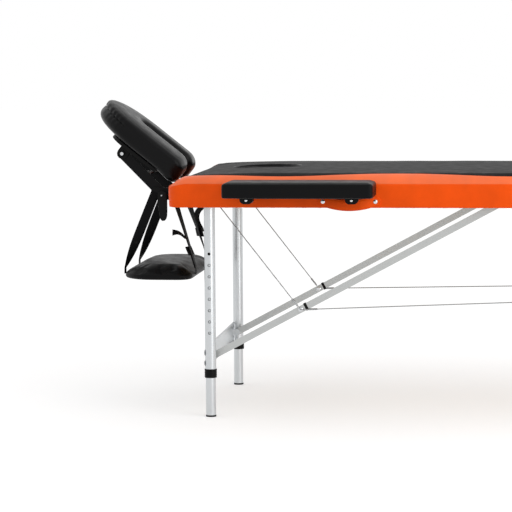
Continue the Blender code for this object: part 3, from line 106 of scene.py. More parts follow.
world = bpy.data.worlds.new("white studio")
bpy.context.scene.world = world
world.use_nodes = True
sky = world.node_tree
sky.nodes.clear()
ray = add(sky, "ShaderNodeLightPath")
seen = calc(sky, "MAXIMUM", ray.outputs["Is Camera Ray"], ray.outputs["Is Transmission Ray"])
seen = calc(sky, "MAXIMUM", seen, ray.outputs["Is Glossy Ray"])
level = add(sky, "ShaderNodeMapRange", {"Value": seen, "To Min": world_level, "To Max": 1.0})
light = add(sky, "ShaderNodeBackground", {"Color": linear("FFFFFF"), "Strength": level.outputs[0]})
add(sky, "ShaderNodeOutputWorld", {"Surface": light.outputs[0]})

for name, watts, size, place in lamp_table:
    lamp = bpy.data.lights.new(name, "AREA")
    lamp.energy, lamp.size, lamp.color = watts, size, (1, 1, 1)
    softbox = link_new(name, lamp)
    softbox.location = place
    softbox.rotation_euler = (lamps_aim - softbox.location).to_track_quat("-Z", "Y").to_euler()

bpy.ops.mesh.primitive_plane_add(size=floor_side, location=(0, 0, -0.0005))
floor = bpy.context.object
floor.name = "floor"
paper = bpy.data.materials.new("pale floor")
paper.use_nodes = True
tree = paper.node_tree
tree.nodes.clear()
ray = add(tree, "ShaderNodeLightPath")
seen = calc(tree, "MAXIMUM", ray.outputs["Is Camera Ray"], ray.outputs["Is Glossy Ray"])
glow = calc(tree, "MULTIPLY", seen, floor_glow)
matt = add(tree, "ShaderNodeBsdfDiffuse", {"Color": linear("D8D8D8")})
lift = add(tree, "ShaderNodeEmission", {"Color": linear("FFFFFF"), "Strength": glow})
both = add(tree, "ShaderNodeAddShader", {0: matt.outputs[0], 1: lift.outputs[0]})
add(tree, "ShaderNodeOutputMaterial", {"Surface": both.outputs[0]})
floor.data.materials.append(paper)


# The two padded tops: about 4 cm of foam on each half's deck, under polyurethane leathercloth that is
# sewn from a black middle panel and orange side panels along a waved seam, and pulled tight over the edge.
half_length, half_width, half_gap = 0.930, 0.340, 0.001
outer_corner, fold_corner = 0.040, 0.012
pad_low, side_top = 0.6126, 0.6216
edge_rise, edge_inset, crown_rise, fold_sag = 0.0264, 0.030, 0.0030, 0.016
drop_depth, drop_length = 0.008, 0.050
seam_end, seam_round, seam_from_edge = 0.031, 0.045, 0.0193
seam_wave, seam_pitch, seam_phase = 0.0058, 0.6, 0.631
hole_from_fold, hole_long, hole_wide = 0.706, 0.174, 0.120


def finish_mesh(name, verts, faces, material, smooth, marks=None):
    """A closed mesh, its faces outwards and its edges sharp past an angle. Doubles are merged, or kept
    where marks give each point its place on a UV map."""
    mesh = bpy.data.meshes.new(name)
    mesh.from_pydata(verts, [], faces)
    if marks:
        layer = mesh.uv_layers.new(name="tape")
        for loop in mesh.loops:
            layer.data[loop.index].uv = marks[loop.vertex_index]
    bm = bmesh.new()
    bm.from_mesh(mesh)
    if not marks:
        bmesh.ops.remove_doubles(bm, verts=bm.verts, dist=0.00001)
    bmesh.ops.recalc_face_normals(bm, faces=bm.faces)
    bm.to_mesh(mesh)
    bm.free()
    mesh.shade_smooth()
    mesh.set_sharp_from_angle(angle=radians(smooth))
    mesh.materials.append(material)
    return link_new(name, mesh)


def skin(rows, closed=False, caps=True):
    """Joins rows of points, each a closed ring, into faces; closed joins the last row to the first."""
    verts = [point for row in rows for point in row]
    n = len(rows[0])
    faces = []
    for r in range(len(rows) if closed else len(rows) - 1):
        a, b = r * n, (r + 1) % len(rows) * n
        faces += [(a + i, a + (i + 1) % n, b + (i + 1) % n, b + i) for i in range(n)]
    if caps and not closed:
        faces += [tuple(range(n))[::-1], tuple(range(len(verts) - n, len(verts)))]
    return verts, faces


def edge_distance(u, w):
    """How far a point of a half lies inside its edge. The fold's edge is rounded less, so it counts more."""
    fold, end, side = (u - half_gap) / 0.4, half_length - u, half_width - abs(w)
    for near, radius in ((end, outer_corner), (fold, fold_corner)):
        if near < radius and side < radius:
            return radius - hypot(radius - near, radius - side)
    return min(fold, end, side)


def eased(share):
    """Eases a share from 0 to 1 in and out."""
    return share * share * (3 - 2 * share)


def end_drop(u):
    """How far the upholstery's edge sinks where it is pulled round the free end."""
    return drop_depth * eased(max(1 - (half_length - u) / drop_length, 0))


def pad_height(u, w):
    """A rolled edge, longer at the free end than at the sides, up to a flat top with a little slack."""
    d = edge_distance(u, w)
    end, side = max(half_length - u, 0), max(half_width - abs(w), 0)
    full = eased(min(max(side / (end + side + 0.001) * 1.3 - 0.15, 0), 1))
    inset, power = edge_inset + 0.026 * full, 1.5 - 0.2 * full
    rise = edge_rise * max(1 - (1 - min(d / inset, 1)) ** power, 0) ** (1 / power)
    slack = 0.0006 * noise.noise(Vector((u * 9, w * 9, 3))) * min(d / 0.03, 1)
    angle = atan2(half_width - abs(w) + 0.03, half_length - u + 0.03)
    gathers = 0.0008 * exp(-(end ** 2 + side ** 2) / 0.0042) * cos(angle * 26) * min(d / 0.012, 1)
    sag = fold_sag * max(1 - end / 0.26, 0) ** 2 * min(d / 0.05, 1)
    return side_top - end_drop(u) + rise - sag + crown_rise * min(d / 0.2, 1) + slack + gathers


def new_material(name, **constants):
    """A material, its tree and its shader, with numbers that are the same all over on the shader."""
    material = bpy.data.materials.new(name)
    material.use_nodes = True
    shader = material.node_tree.nodes["Principled BSDF"]
    for label, value in constants.items():
        shader.inputs[label.replace("_", " ")].default_value = value
    return material, material.node_tree, shader


def mottled(tree, shader, cloud, colour, tones, worn, worn_by=None):
    """A colour and a roughness that drift with a cloud between two levels; worn_by drives the second."""
    span = {"From Min": 0.3, "From Max": 0.7}
    tint = add(tree, "ShaderNodeMapRange", {"Value": cloud, **span, "To Min": tones[0], "To Max": tones[1]})
    if isinstance(colour, str):
        base = add(tree, "ShaderNodeRGB")
        base.outputs[0].default_value = linear(colour)
        colour = base.outputs[0]
    shaded = add(tree, "ShaderNodeVectorMath", {0: colour, "Scale": tint.outputs[0]}, operation="SCALE")
    rough = {"Value": worn_by or cloud, **span, "To Min": worn[0], "To Max": worn[1]}
    tree.links.new(shaded.outputs[0], shader.inputs["Base Color"])
    tree.links.new(add(tree, "ShaderNodeMapRange", rough).outputs[0], shader.inputs["Roughness"])


def two_tones(tree, share, low, high):
    """A colour between two hex colours by a share."""
    ends = {"Factor": share, 6: linear(low), 7: linear(high)}
    return add(tree, "ShaderNodeMix", ends, data_type="RGBA").outputs[2]


def relief(tree, shader, height, strength, depth, under=None):
    """A bump on the shader, over another one where there is one; gives its output."""
    heights = {"Height": height, "Strength": strength, "Distance": depth}
    if under:
        heights["Normal"] = under
    normal = add(tree, "ShaderNodeBump", heights).outputs[0]
    tree.links.new(normal, shader.inputs["Normal"])
    return normal


def leathercloth(name, body, panel=None, gloss=0.2, rough=0.40):
    """Polyurethane leathercloth: knit-backed, embossed with a fine pebble grain that breaks up a soft
    sheen. The grain is drawn at 1.6 mm, coarser than the real half millimetre, so that it shows."""
    material, tree, shader = new_material(name, IOR=1.45, Specular_IOR_Level=gloss)
    place = add(tree, "ShaderNodeTexCoord").outputs["Object"]
    pebbles = {"Vector": place, "Scale": 620.0, "Randomness": 1.0}
    grain = add(tree, "ShaderNodeTexVoronoi", pebbles, feature="SMOOTH_F1")
    pull = add(tree, "ShaderNodeTexNoise", {"Vector": place, "Scale": 9.0, "Detail": 4.0, "Roughness": 0.55})
    fold = add(tree, "ShaderNodeTexNoise", {"Vector": place, "Scale": 38.0, "Detail": 2.0})
    if panel:
        body, varnish = panel(tree, place)
        tree.links.new(varnish, shader.inputs["Coat Weight"])
        shader.inputs["Coat Roughness"].default_value = 0.4
        shader.inputs["Coat IOR"].default_value = 1.6
    mottled(tree, shader, pull.outputs["Fac"], body, (0.86, 1.1), (rough, rough + 0.12), fold.outputs["Fac"])
    wrinkle = relief(tree, shader, fold.outputs["Fac"], 0.12, 0.004)
    relief(tree, shader, grain.outputs["Distance"], 0.22, 0.0005, wrinkle)
    return material


def two_panels(tree, place):
    """Black inside a waved seam that turns the free corners in a wide curve, orange outside it and below."""
    x, y, z = add(tree, "ShaderNodeSeparateXYZ", {0: place}).outputs
    wave, mean = 2 * pi / seam_pitch, half_width - seam_from_edge - seam_round
    phase = calc(tree, "MULTIPLY_ADD", x, wave, (seam_phase - fold_x) * wave)
    reach = calc(tree, "MULTIPLY_ADD", calc(tree, "COSINE", phase), seam_wave, mean)
    side = calc(tree, "SUBTRACT", calc(tree, "ABSOLUTE", y), reach)
    from_fold = calc(tree, "ABSOLUTE", calc(tree, "SUBTRACT", x, fold_x))
    end = calc(tree, "SUBTRACT", from_fold, half_length - seam_end - seam_round)
    a, b = calc(tree, "MAXIMUM", side, 0.0), calc(tree, "MAXIMUM", end, 0.0)
    corner = calc(tree, "SQRT", calc(tree, "ADD", calc(tree, "MULTIPLY", a, a), calc(tree, "MULTIPLY", b, b)))
    straight = calc(tree, "MINIMUM", calc(tree, "MAXIMUM", side, end), 0.0)
    past = calc(tree, "SUBTRACT", calc(tree, "ADD", corner, straight), seam_round)
    outside = calc(tree, "MAXIMUM", past, calc(tree, "SUBTRACT", 0.6225, z))
    step = add(tree, "ShaderNodeMapRange", {"Value": outside, "From Min": -0.0002, "From Max": 0.0002})
    # The orange is a little paler than the apron's, though it is the same cloth: a painted highlight on the
    # upward rolled edge.
    return two_tones(tree, step.outputs[0], "080809", "F06006"), step.outputs[0]


two_tone = leathercloth("black and orange leathercloth", None, two_panels, rough=0.56)
black_cloth = leathercloth("black leathercloth", "060607", gloss=0.13, rough=0.36)
glossy_cloth = leathercloth("glossy black leathercloth", "060607", gloss=0.16, rough=0.28)
orange_cloth = leathercloth("orange leathercloth", "F05206", gloss=0.12)


def star_ring(centre, heading, inset):
    """The point on a ray from the centre that lies inset from the edge of a half."""
    low, high = 0.0, 1.2
    for _ in range(30):
        reach = (low + high) / 2
        u, w = centre + reach * heading[0], reach * heading[1]
        inside = half_gap < u < half_length and abs(w) < half_width and edge_distance(u, w) > inset
        low, high = (reach, high) if inside else (low, reach)
    return low


def make_pad(end, name, centre, rim):
    """Rings run from the opening, or a small middle, out to the edge, down the side and back under."""
    spokes = 288
    headings = []
    for i in range(spokes):
        a = 2 * pi * i / spokes
        a -= 0.16 * sin(2 * a)
        headings.append((cos(a), sin(a)))
    insets = [0.075, 0.052, 0.038, 0.030, 0.024, 0.018, 0.0125, 0.008, 0.0045, 0.002, 0.0005]
    reaches = {d: [star_ring(centre, h, d) for h in headings] for d in insets + [0.0]}
    starts = [1 / sqrt((h[0] / rim[0]) ** 2 + (h[1] / rim[1]) ** 2) for h in headings]

    def ring_at(reach, height):
        spots = [(centre + r * h[0], r * h[1]) for r, h in zip(reach, headings)]
        return [(fold_x + end * u, w, height(u, w)) for u, w in spots]

    def between(share):
        return [s + (e - s) * share for s, e in zip(starts, reaches[insets[0]])]

    def bottom(u, w):
        return pad_low + 0.0002

    shares = [0, 0.006, 0.014, 0.03, 0.06, 0.11, 0.18, 0.27, 0.38, 0.5, 0.62, 0.74, 0.87]
    rings = [ring_at(between(share), pad_height) for share in shares]
    rings += [ring_at(reaches[d], pad_height) for d in insets]
    rings.append(ring_at(reaches[0.0], lambda u, w: side_top - end_drop(u) + 0.0002))
    tuck = [r - 0.0012 for r in reaches[0.0]]
    rings.append(ring_at(tuck, lambda u, w: max(side_top - end_drop(u) - 0.002, pad_low + 0.0004)))
    rings.append(ring_at(tuck, bottom))
    rings += [ring_at(between(share), bottom) for share in (0.75, 0.4, 0.0)]
    through = rim[0] > 0.05
    piece = finish_mesh(name, *skin(rings, closed=through, caps=not through), two_tone, 60)
    return piece


hole_rim = (hole_long / 2 + 0.0015, hole_wide / 2 + 0.0015)
head_top = make_pad(-1, "head_padded_top", hole_from_fold, hole_rim)
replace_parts(head_top, "head_pad"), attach(head_top, "head_half"), head_top
foot_top = make_pad(1, "foot_padded_top", half_length / 2, (0.01, 0.01))
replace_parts(foot_top, "foot_pad"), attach(foot_top, "foot_half"), foot_top


# The face opening is lined with a sewn tube of the same black cloth: it rolls over the rim in a
# small lip, runs down through the foam and turns out under the deck, where it is stapled.
lining = []
middle_top = pad_height(hole_from_fold, 0.0)
lining_profile = [(0.009, -0.0002), (0.0085, 0.0012), (0.005, 0.0021), (0.0015, 0.0019), (-0.0008, 0.0006),
                  (-0.0018, -0.003), (-0.0012, -0.012), (-0.0006, -0.026), (-0.0012, -0.042), (0.0, -0.0515),
                  (0.006, -0.0570), (0.016, -0.0572), (0.016, -0.0566), (0.0012, -0.0560), (0.0006, -0.042),
                  (0.0008, -0.012), (0.001, -0.004)]
for out, z in lining_profile:
    ring = []
    for i in range(96):
        a = 2 * pi * i / 96
        pucker = 0.0006 * sin(a * 17) * exp(-abs(z + 0.004) / 0.01)
        u = hole_from_fold + (hole_long / 2 + out + pucker) * cos(a)
        w = (hole_wide / 2 + out + pucker) * sin(a)
        surface = pad_height(u, w) if z > -0.01 else middle_top
        ring.append((fold_x - u, w, surface + z))
    lining.append(ring)
hole_lining = finish_mesh("face_opening_lining", *skin(lining, closed=True), black_cloth, 70)
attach(hole_lining, "head_half"), hole_lining


# The apron round each half: the orange cloth carries on down the wooden rails, stretched over thin
# foam, so it bellies a little between the seam and the lower edge and pulls in at both.
def top_plan(inset, steps=10):
    """Points round one half, drawn in by an inset, with many along the straights and at the corners."""
    u0, u1, w = half_gap + inset, half_length - inset, half_width - inset
    outer, fold = max(outer_corner - inset, 0.01), max(cover_fold_corner - inset, 0.0015)
    plan = []
    for cx, cy, r, start in [(u0 + fold, -w + fold, fold, pi), (u1 - outer, -w + outer, outer, -pi / 2),
                             (u1 - outer, w - outer, outer, 0), (u0 + fold, w - fold, fold, pi / 2)]:
        turns = [start + pi / 2 * i / steps for i in range(steps + 1)]
        plan += [(cx + r * cos(a), cy + r * sin(a)) for a in turns]
    full = []
    for a, b in zip(plan, plan[1:] + plan[:1]):
        count = max(1, int(hypot(b[0] - a[0], b[1] - a[1]) / 0.011))
        full += [(a[0] + (b[0] - a[0]) * i / count, a[1] + (b[1] - a[1]) * i / count) for i in range(count)]
    return full


cover_fold_corner, drop_from, drop_over = 0.006, 0.597, 0.0247


def make_apron(end, name):
    """The cloth's section, bellied and hemmed, carried round the half's plan with slack and creases."""
    plan = top_plan(0.0)
    normals = []
    for i in range(len(plan)):
        a, b = plan[i - 1], plan[(i + 1) % len(plan)]
        t = Vector((b[0] - a[0], b[1] - a[1])).normalized()
        normals.append((t.y, -t.x))
    profile = [(-0.0020, 0.5606), (-0.0012, 0.5600), (-0.0003, 0.5602), (0.0001, 0.5615), (0.0005, 0.566),
               (0.0009, 0.574), (0.0012, 0.585), (0.0013, 0.597), (0.0012, 0.608), (0.0009, 0.6155),
               (0.0005, 0.6195), (0.0001, 0.6212), (-0.0006, 0.6217), (-0.0020, 0.6214)]
    rows = []
    for out, z in profile:
        row = []
        for (u, w), (nu, nw) in zip(plan, normals):
            slack = 0.0007 * noise.noise(Vector((u * 14, w * 14, z * 40 + end)))
            slack *= 1 if out > 0.0003 else 0.2
            corner = exp(-((half_length - 0.012 - u) ** 2 + (half_width - 0.012 - abs(w)) ** 2) / 0.0011)
            crease = 0.0007 * corner * cos((z - 0.586) * 520 + (u + abs(w)) * 160) * (out > 0)
            move = out + slack + crease if u > 0.004 else min(out, 0) - 0.0002
            drop = end_drop(u) * max(z - drop_from, 0) / drop_over
            row.append((fold_x + end * (u + nu * move), w + nw * move, z - drop))
        rows.append(row)
    piece = finish_mesh(name, *skin(rows, closed=True), orange_cloth, 60)
    return piece


head_apron = make_apron(-1, "head_apron")
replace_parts(head_apron, "head_side_cover")
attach(head_apron, "head_half"), head_apron
foot_apron = make_apron(1, "foot_apron")
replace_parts(foot_apron, "foot_side_cover")
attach(foot_apron, "foot_half"), foot_apron


# Stitches, screws, rivets and staples are set out by one geometry-nodes tree: a part is put on every
# point of a row, stood along the point's own direction, given a small random turn and made solid.
def set_out_tree():
    """The tree, with the row, the part, its random turn, the seed and the finish as inputs."""
    tree = bpy.data.node_groups.new("set out parts", "GeometryNodeTree")
    sockets = {"Row": "Geometry", "Part": "Object", "Random turn": "Float", "Seed": "Int", "Finish": "Material"}
    for label, kind in sockets.items():
        tree.interface.new_socket(label, in_out="INPUT", socket_type=f"NodeSocket{kind}")
    tree.interface.new_socket("Parts", in_out="OUTPUT", socket_type="NodeSocketGeometry")
    given = add(tree, "NodeGroupInput").outputs
    part = add(tree, "GeometryNodeObjectInfo", {"Object": given["Part"]})
    ways = {}
    for i, label in enumerate(("out", "along")):
        way = add(tree, "GeometryNodeInputNamedAttribute", {"Name": label}, data_type="FLOAT_VECTOR")
        ways[i] = way.outputs["Attribute"]
    stood = add(tree, "FunctionNodeAxesToRotation", ways, primary_axis="Z", secondary_axis="X")
    lowest = add(tree, "ShaderNodeMath", {0: given["Random turn"], 1: -1.0}, operation="MULTIPLY")
    chance = add(tree, "FunctionNodeRandomValue", {"Seed": given["Seed"]}, data_type="FLOAT")
    tree.links.new(lowest.outputs[0], chance.inputs[2])
    tree.links.new(given["Random turn"], chance.inputs[3])
    spin = add(tree, "ShaderNodeCombineXYZ", {"Z": chance.outputs[1]})
    turns = {0: stood.outputs[0], 1: spin.outputs[0]}
    spun = add(tree, "FunctionNodeRotateRotation", turns, rotation_space="LOCAL")
    placed = add(tree, "GeometryNodeInstanceOnPoints", {
        "Points": given["Row"], "Instance": part.outputs["Geometry"], "Rotation": spun.outputs[0]})
    real = add(tree, "GeometryNodeRealizeInstances", {0: placed.outputs[0]})
    painted = add(tree, "GeometryNodeSetMaterial", {"Geometry": real.outputs[0], "Material": given["Finish"]})
    add(tree, "NodeGroupOutput", {0: painted.outputs[0]})
    return tree


set_out_parts = set_out_tree()


def solid_copy(piece):
    """The piece as its modifiers leave it, as a plain mesh."""
    return bpy.data.meshes.new_from_object(piece.evaluated_get(bpy.context.evaluated_depsgraph_get()))


def set_out(name, body, places, part, finish, turn=0.0, seed=1):
    """places holds a point, the way out of the surface and the way along the row for every part."""
    row = bpy.data.meshes.new(name)
    row.from_pydata([p for p, _, _ in places], [], [])
    for i, label in enumerate(("out", "along"), 1):
        attribute = row.attributes.new(label, "FLOAT_VECTOR", "POINT")
        attribute.data.foreach_set("vector", [c for place in places for c in place[i]])
    holder = link_new(name, row)
    modifier = holder.modifiers.new("parts", "NODES")
    modifier.node_group = set_out_parts
    given = {"Part": part, "Random turn": turn, "Seed": seed, "Finish": finish}
    for item in set_out_parts.interface.items_tree:
        if item.in_out == "INPUT" and item.name in given:
            modifier[item.identifier] = given[item.name]
    holder.update_tag()
    bpy.context.view_layer.update()
    solid = solid_copy(holder)
    bpy.data.objects.remove(holder)
    solid.shade_smooth()
    solid.set_sharp_from_angle(angle=radians(40))
    piece = link_new(name, solid)
    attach(piece, body), piece


mm = 0.001
patterns = []


def pattern_part(name, verts, faces):
    """A part that is only copied from: it is removed before the end."""
    mesh = bpy.data.meshes.new(name)
    mesh.from_pydata(verts, [], faces)
    part = link_new(name, mesh)
    patterns.append(part)
    return part


def lathe(profile, sides, x=0.0, y=0.0):
    """Rings round an upright axis, from pairs of radius and height in millimetres."""
    ways = [(cos(2 * pi * i / sides) * mm, sin(2 * pi * i / sides) * mm) for i in range(sides)]
    return [[(x + r * c, y + r * s, z * mm) for c, s in ways] for r, z in profile]


def turned_part(name, profile, sides=16, closed=False):
    """A part turned about its own Z; its ends are capped, unless its profile is closed."""
    return pattern_part(name, *skin(lathe(profile, sides), closed=closed))


# The seams are top-stitched in thick bonded polyester thread, one 4 mm stitch after another, each
# sunk a little at its ends where the needle pulled it through the cloth.
def laid(name, dark, light, scale, distortion, bump, **constants):
    """Plies or strands laid round each other, drawn as diagonal bands with a bump: painted shade in the valleys
    and a painted highlight on the crowns.
    """
    material, tree, shader = new_material(name, **constants)
    place = add(tree, "ShaderNodeTexCoord").outputs["Object"]
    bands = {"Vector": place, "Scale": scale, "Distortion": distortion}
    lay = add(tree, "ShaderNodeTexWave", bands, bands_direction="DIAGONAL").outputs["Fac"]
    tree.links.new(two_tones(tree, lay, dark, light), shader.inputs["Base Color"])
    relief(tree, shader, lay, *bump)
    return material


# Bonded polyester is smooth and a little waxy, with the twist of its plies just in sight as painted shade
# between them and a painted highlight on them.
plies = (900.0, 1.0, (0.3, 0.0002))
black_thread = laid("black bonded polyester thread", "101010", "2A2A2A", *plies, Roughness=0.55)
orange_thread = laid("orange bonded polyester thread", "C9440A", "F0672A", *plies, Roughness=0.55)
stitch_rows = []
for x, r in [(-2.0, 0.08), (-1.7, 0.30), (-0.9, 0.42), (0.9, 0.42), (1.7, 0.30), (2.0, 0.08)]:
    rise, sixths = 0.15 - 0.25 * (x / 2) ** 4, [pi * i / 3 for i in range(6)]
    stitch_rows.append([(x * mm, r * cos(a) * mm, (rise + r * sin(a)) * mm) for a in sixths])
stitch = pattern_part("stitch", *skin(stitch_rows))


def seam_reach(u, end):
    """How far the straight run of the seam lies from the middle line."""
    return half_width - seam_from_edge + seam_wave * cos(2 * pi * (end * u + seam_phase) / seam_pitch)


halves = [(-1, "head"), (1, "foot")]
stitch_from_seam, first_stitch = 0.0032, 0.012
for end, name in halves:
    turn_u, inside = half_length - seam_end - seam_round, seam_round - stitch_from_seam
    run = [first_stitch + (turn_u - first_stitch) * i / 160 for i in range(160)]
    line = [(u, seam_reach(u, end) - stitch_from_seam) for u in run]
    turn_w = seam_reach(turn_u, end) - seam_round
    line += [(turn_u + inside * sin(pi / 32 * i), turn_w + inside * cos(pi / 32 * i)) for i in range(17)]
    line += [(turn_u + inside, turn_w * (1 - i / 48)) for i in range(1, 49)]
    places = []
    for side in (-1, 1):
        for (u, w), (u2, w2) in zip(line, line[1:]):
            way = Vector((u2 - u, w2 - w))
            rise = [pad_height(u + a, w + b) - pad_height(u - a, w - b) for a, b in ((0.001, 0), (0, 0.001))]
            out = Vector((-end * rise[0] / 0.002, -side * rise[1] / 0.002, 1))
            spot, along = (fold_x + end * u, side * w, pad_height(u, w)), (end * way.x, side * way.y, 0)
            places.append((spot, out, along))
    set_out(f"{name}_seam_stitches", f"{name}_half", places, stitch, black_thread)


# Under the cloth each half is a poplar plywood board, 5 mm thick, screwed down on a frame of planed
# beech rails, 47 by 20 mm, joined at the corners. Both are seen from below and through the opening.
def timber(name, light_tone, dark_tone, ring_size, fleck):
    """Planed wood: long streaks of early and late growth and short dark flecks of rays, with a dry
    lacquer that leaves a low, even sheen. Streaks are 3 to 8 mm apart, as in flat-sawn boards."""
    material, tree, shader = new_material(name)
    place = add(tree, "ShaderNodeTexCoord").outputs["Object"]
    stretched = add(tree, "ShaderNodeMapping", {"Vector": place, "Scale": (0.06, 1, 1)}).outputs[0]
    streaks = {"Vector": stretched, "Scale": ring_size, "Detail": 5.0, "Distortion": 0.6}
    rings = add(tree, "ShaderNodeTexNoise", streaks).outputs["Fac"]
    short = add(tree, "ShaderNodeMapping", {"Vector": place, "Scale": (0.25, 1, 1)}).outputs[0]
    rays = add(tree, "ShaderNodeTexVoronoi", {"Vector": short, "Scale": 900.0}).outputs["Distance"]
    spots = {"Value": rays, "From Min": 0.05, "From Max": 0.22, "To Min": fleck, "To Max": 0.0}
    dot = add(tree, "ShaderNodeMapRange", spots).outputs[0]
    tones = {"Factor": dot, 6: two_tones(tree, rings, light_tone, dark_tone), 7: linear("7A5232")}
    flecked = add(tree, "ShaderNodeMix", tones, data_type="RGBA")
    tree.links.new(flecked.outputs[2], shader.inputs["Base Color"])
    rough = add(tree, "ShaderNodeMapRange", {"Value": rings, "To Min": 0.45, "To Max": 0.62})
    tree.links.new(rough.outputs[0], shader.inputs["Roughness"])
    relief(tree, shader, rings, 0.25, 0.0006)
    return material


def finish(material, *names):
    """Gives CAD nodes their material."""
    for name in names:
        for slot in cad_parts[name].material_slots:
            slot.material = material


finish(timber("poplar plywood", "DDBF8E", "C49B63", 120.0, 0.1), "head_deck", "foot_deck")
finish(timber("planed beech", "D8AE7C", "BC8A58", 210.0, 0.5), "head_frame", "foot_frame")


# Metals. Tubes and channels are extruded aluminium, satin anodised; brace bars are aluminium with a
# duller, more scuffed skin; hinge, hangers and fasteners are rolled steel, zinc plated.
def metal(name, tone, roughness, lines, patch=0.05, stretch=(1, 1, 0.02)):
    """A metal with die or brush lines along one way, handling marks in its roughness and faint patches."""
    material, tree, shader = new_material(name, Metallic=1.0)
    place = add(tree, "ShaderNodeTexCoord").outputs["Object"]
    drawn = add(tree, "ShaderNodeMapping", {"Vector": place, "Scale": stretch}).outputs[0]
    line = add(tree, "ShaderNodeTexNoise", {"Vector": drawn, "Scale": 900.0, "Detail": 3.0}).outputs["Fac"]
    cloud = add(tree, "ShaderNodeTexNoise", {"Vector": place, "Scale": 14.0, "Detail": 4.0}).outputs["Fac"]
    mottled(tree, shader, cloud, tone, (1 - patch, 1.0), (roughness - 0.05, roughness + 0.06))
    relief(tree, shader, line, lines, 0.0002)
    return material


anodised = metal("satin anodised aluminium", "CCCFD1", 0.36, 0.12)
dull_bar = metal("scuffed aluminium bar", "BEC0BF", 0.42, 0.2, 0.08, (0.03, 1, 1))
zinc_steel = metal("zinc plated steel", "B4B6B8", 0.30, 0.15, 0.12, (1, 1, 1))
bright_steel = metal("polished steel", "D2D4D6", 0.16, 0.05, 0.03, (1, 1, 1))

# The two halves turn on a piano hinge, 600 mm long: two 20 mm leaves of rolled steel with interlocked
# knuckles on one wire pin, held up under the fold rails by countersunk screws every 50 mm.
finish(zinc_steel, "head_hinge_leaf", "foot_hinge_leaf")
screw_profile = [(0.3, -0.9), (1.1, -0.75), (1.3, 0.0), (3.0, 0.05), (3.2, -0.15), (1.6, -1.3)]
screw = turned_part("countersunk_screw", screw_profile)
down, lengthwise = (0, 0, -1), (1, 0, 0)
screw_line, first_screw, screw_step, leaf_z = 0.0165, -0.2875, 0.05, 0.5582
for end, name in halves:
    spots = [(fold_x + end * screw_line, first_screw + screw_step * i, leaf_z) for i in range(12)]
    places = [(spot, down, lengthwise) for spot in spots]
    set_out(f"{name}_hinge_screws", f"{name}_half", places, screw, zinc_steel, turn=3.0, seed=4)


# The cloth is turned under the rails as a hem and stapled there, about every 40 mm, with wire staples.
wire = ((-0.6, 0.0), (0.6, 0.0), (0.6, -0.4), (-0.6, -0.4))
staple_rows = []
for x, z in [(-5, 0.0), (-5, 0.35), (-4.7, 0.6), (4.7, 0.6), (5, 0.35), (5, 0.0)]:
    staple_rows.append([(x * mm, y * mm, (z + dz) * mm) for y, dz in wire])
staple = pattern_part("staple", *skin(staple_rows))
hem_edge, hem_inset, hem_z = 0.0030, 0.0165, 0.5590
staple_line, side_start, side_step, end_start, end_step = 0.010, 0.045, 0.0405, -0.27, 0.045
for end, name in halves:
    plan = top_plan(hem_edge, 8)
    rows = []
    for share, z in ((0, 0.5598), (0.3, 0.5592), (0.9, 0.5591), (1, 0.5594), (1, 0.5597), (0.3, 0.5598)):
        row = []
        for u, w in plan:
            u_in = min(max(u, hem_inset), half_length - hem_inset)
            w_in = min(max(w, hem_inset - half_width), half_width - hem_inset)
            edge = 0.0010 * noise.noise(Vector((u * 30, w * 30, 5)))
            reach = share * (1 + edge / (hem_inset - hem_edge)) if u >= 0.004 else 0
            row.append((fold_x + end * (u + (u_in - u) * reach), w + (w_in - w) * reach, z))
        rows.append(row)
    hem = finish_mesh(f"{name}_hem", *skin(rows, closed=True), orange_cloth, 60)
    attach(hem, f"{name}_half"), hem
    places = []
    for side in (-1, 1):
        w = side * (half_width - staple_line)
        run = [(fold_x + end * (side_start + side_step * i), w, hem_z) for i in range(21)]
        places += [(p, down, (1, 0.3, 0)) for p in run]
    x = fold_x + end * (half_length - staple_line)
    run = [(x, end_start + end_step * i, hem_z) for i in range(13)]
    places += [(p, down, (0.3, 1, 0)) for p in run]
    set_out(f"{name}_staples", f"{name}_half", places, staple, bright_steel, turn=0.5, seed=9)


# Each leg is a satin aluminium tube with a narrower tube sliding in it, eight holes down its outer
# face for the spring button, and a black nylon collar moulded round its lower end.
def plastic(name, tone, roughness=0.42):
    """Moulded plastic: spark-eroded tool texture about 0.6 mm across gives a fine, broken satin."""
    material, tree, shader = new_material(name, IOR=1.5, Specular_IOR_Level=0.12)
    place = add(tree, "ShaderNodeTexCoord").outputs["Object"]
    spark = add(tree, "ShaderNodeTexNoise", {"Vector": place, "Scale": 1500.0, "Detail": 2.0}).outputs["Fac"]
    rubbed = add(tree, "ShaderNodeTexNoise", {"Vector": place, "Scale": 45.0, "Detail": 3.0}).outputs["Fac"]
    mottled(tree, shader, rubbed, tone, (0.85, 1.15), (roughness - 0.06, roughness + 0.08))
    relief(tree, shader, spark, 0.25, 0.0003)
    return material


nylon = plastic("black glass-filled nylon", "090909")
rubber = plastic("black rubber", "101010", 0.7)
legs = [(end, side, f"{end}_{side}") for end in ("head", "foot") for side in ("near", "far")]
leg_x = {"head": fold_x - 0.827, "foot": fold_x + 0.827}
leg_spread = {"head": 0.280, "foot": 0.225}
sign = {"near": -1, "far": 1}
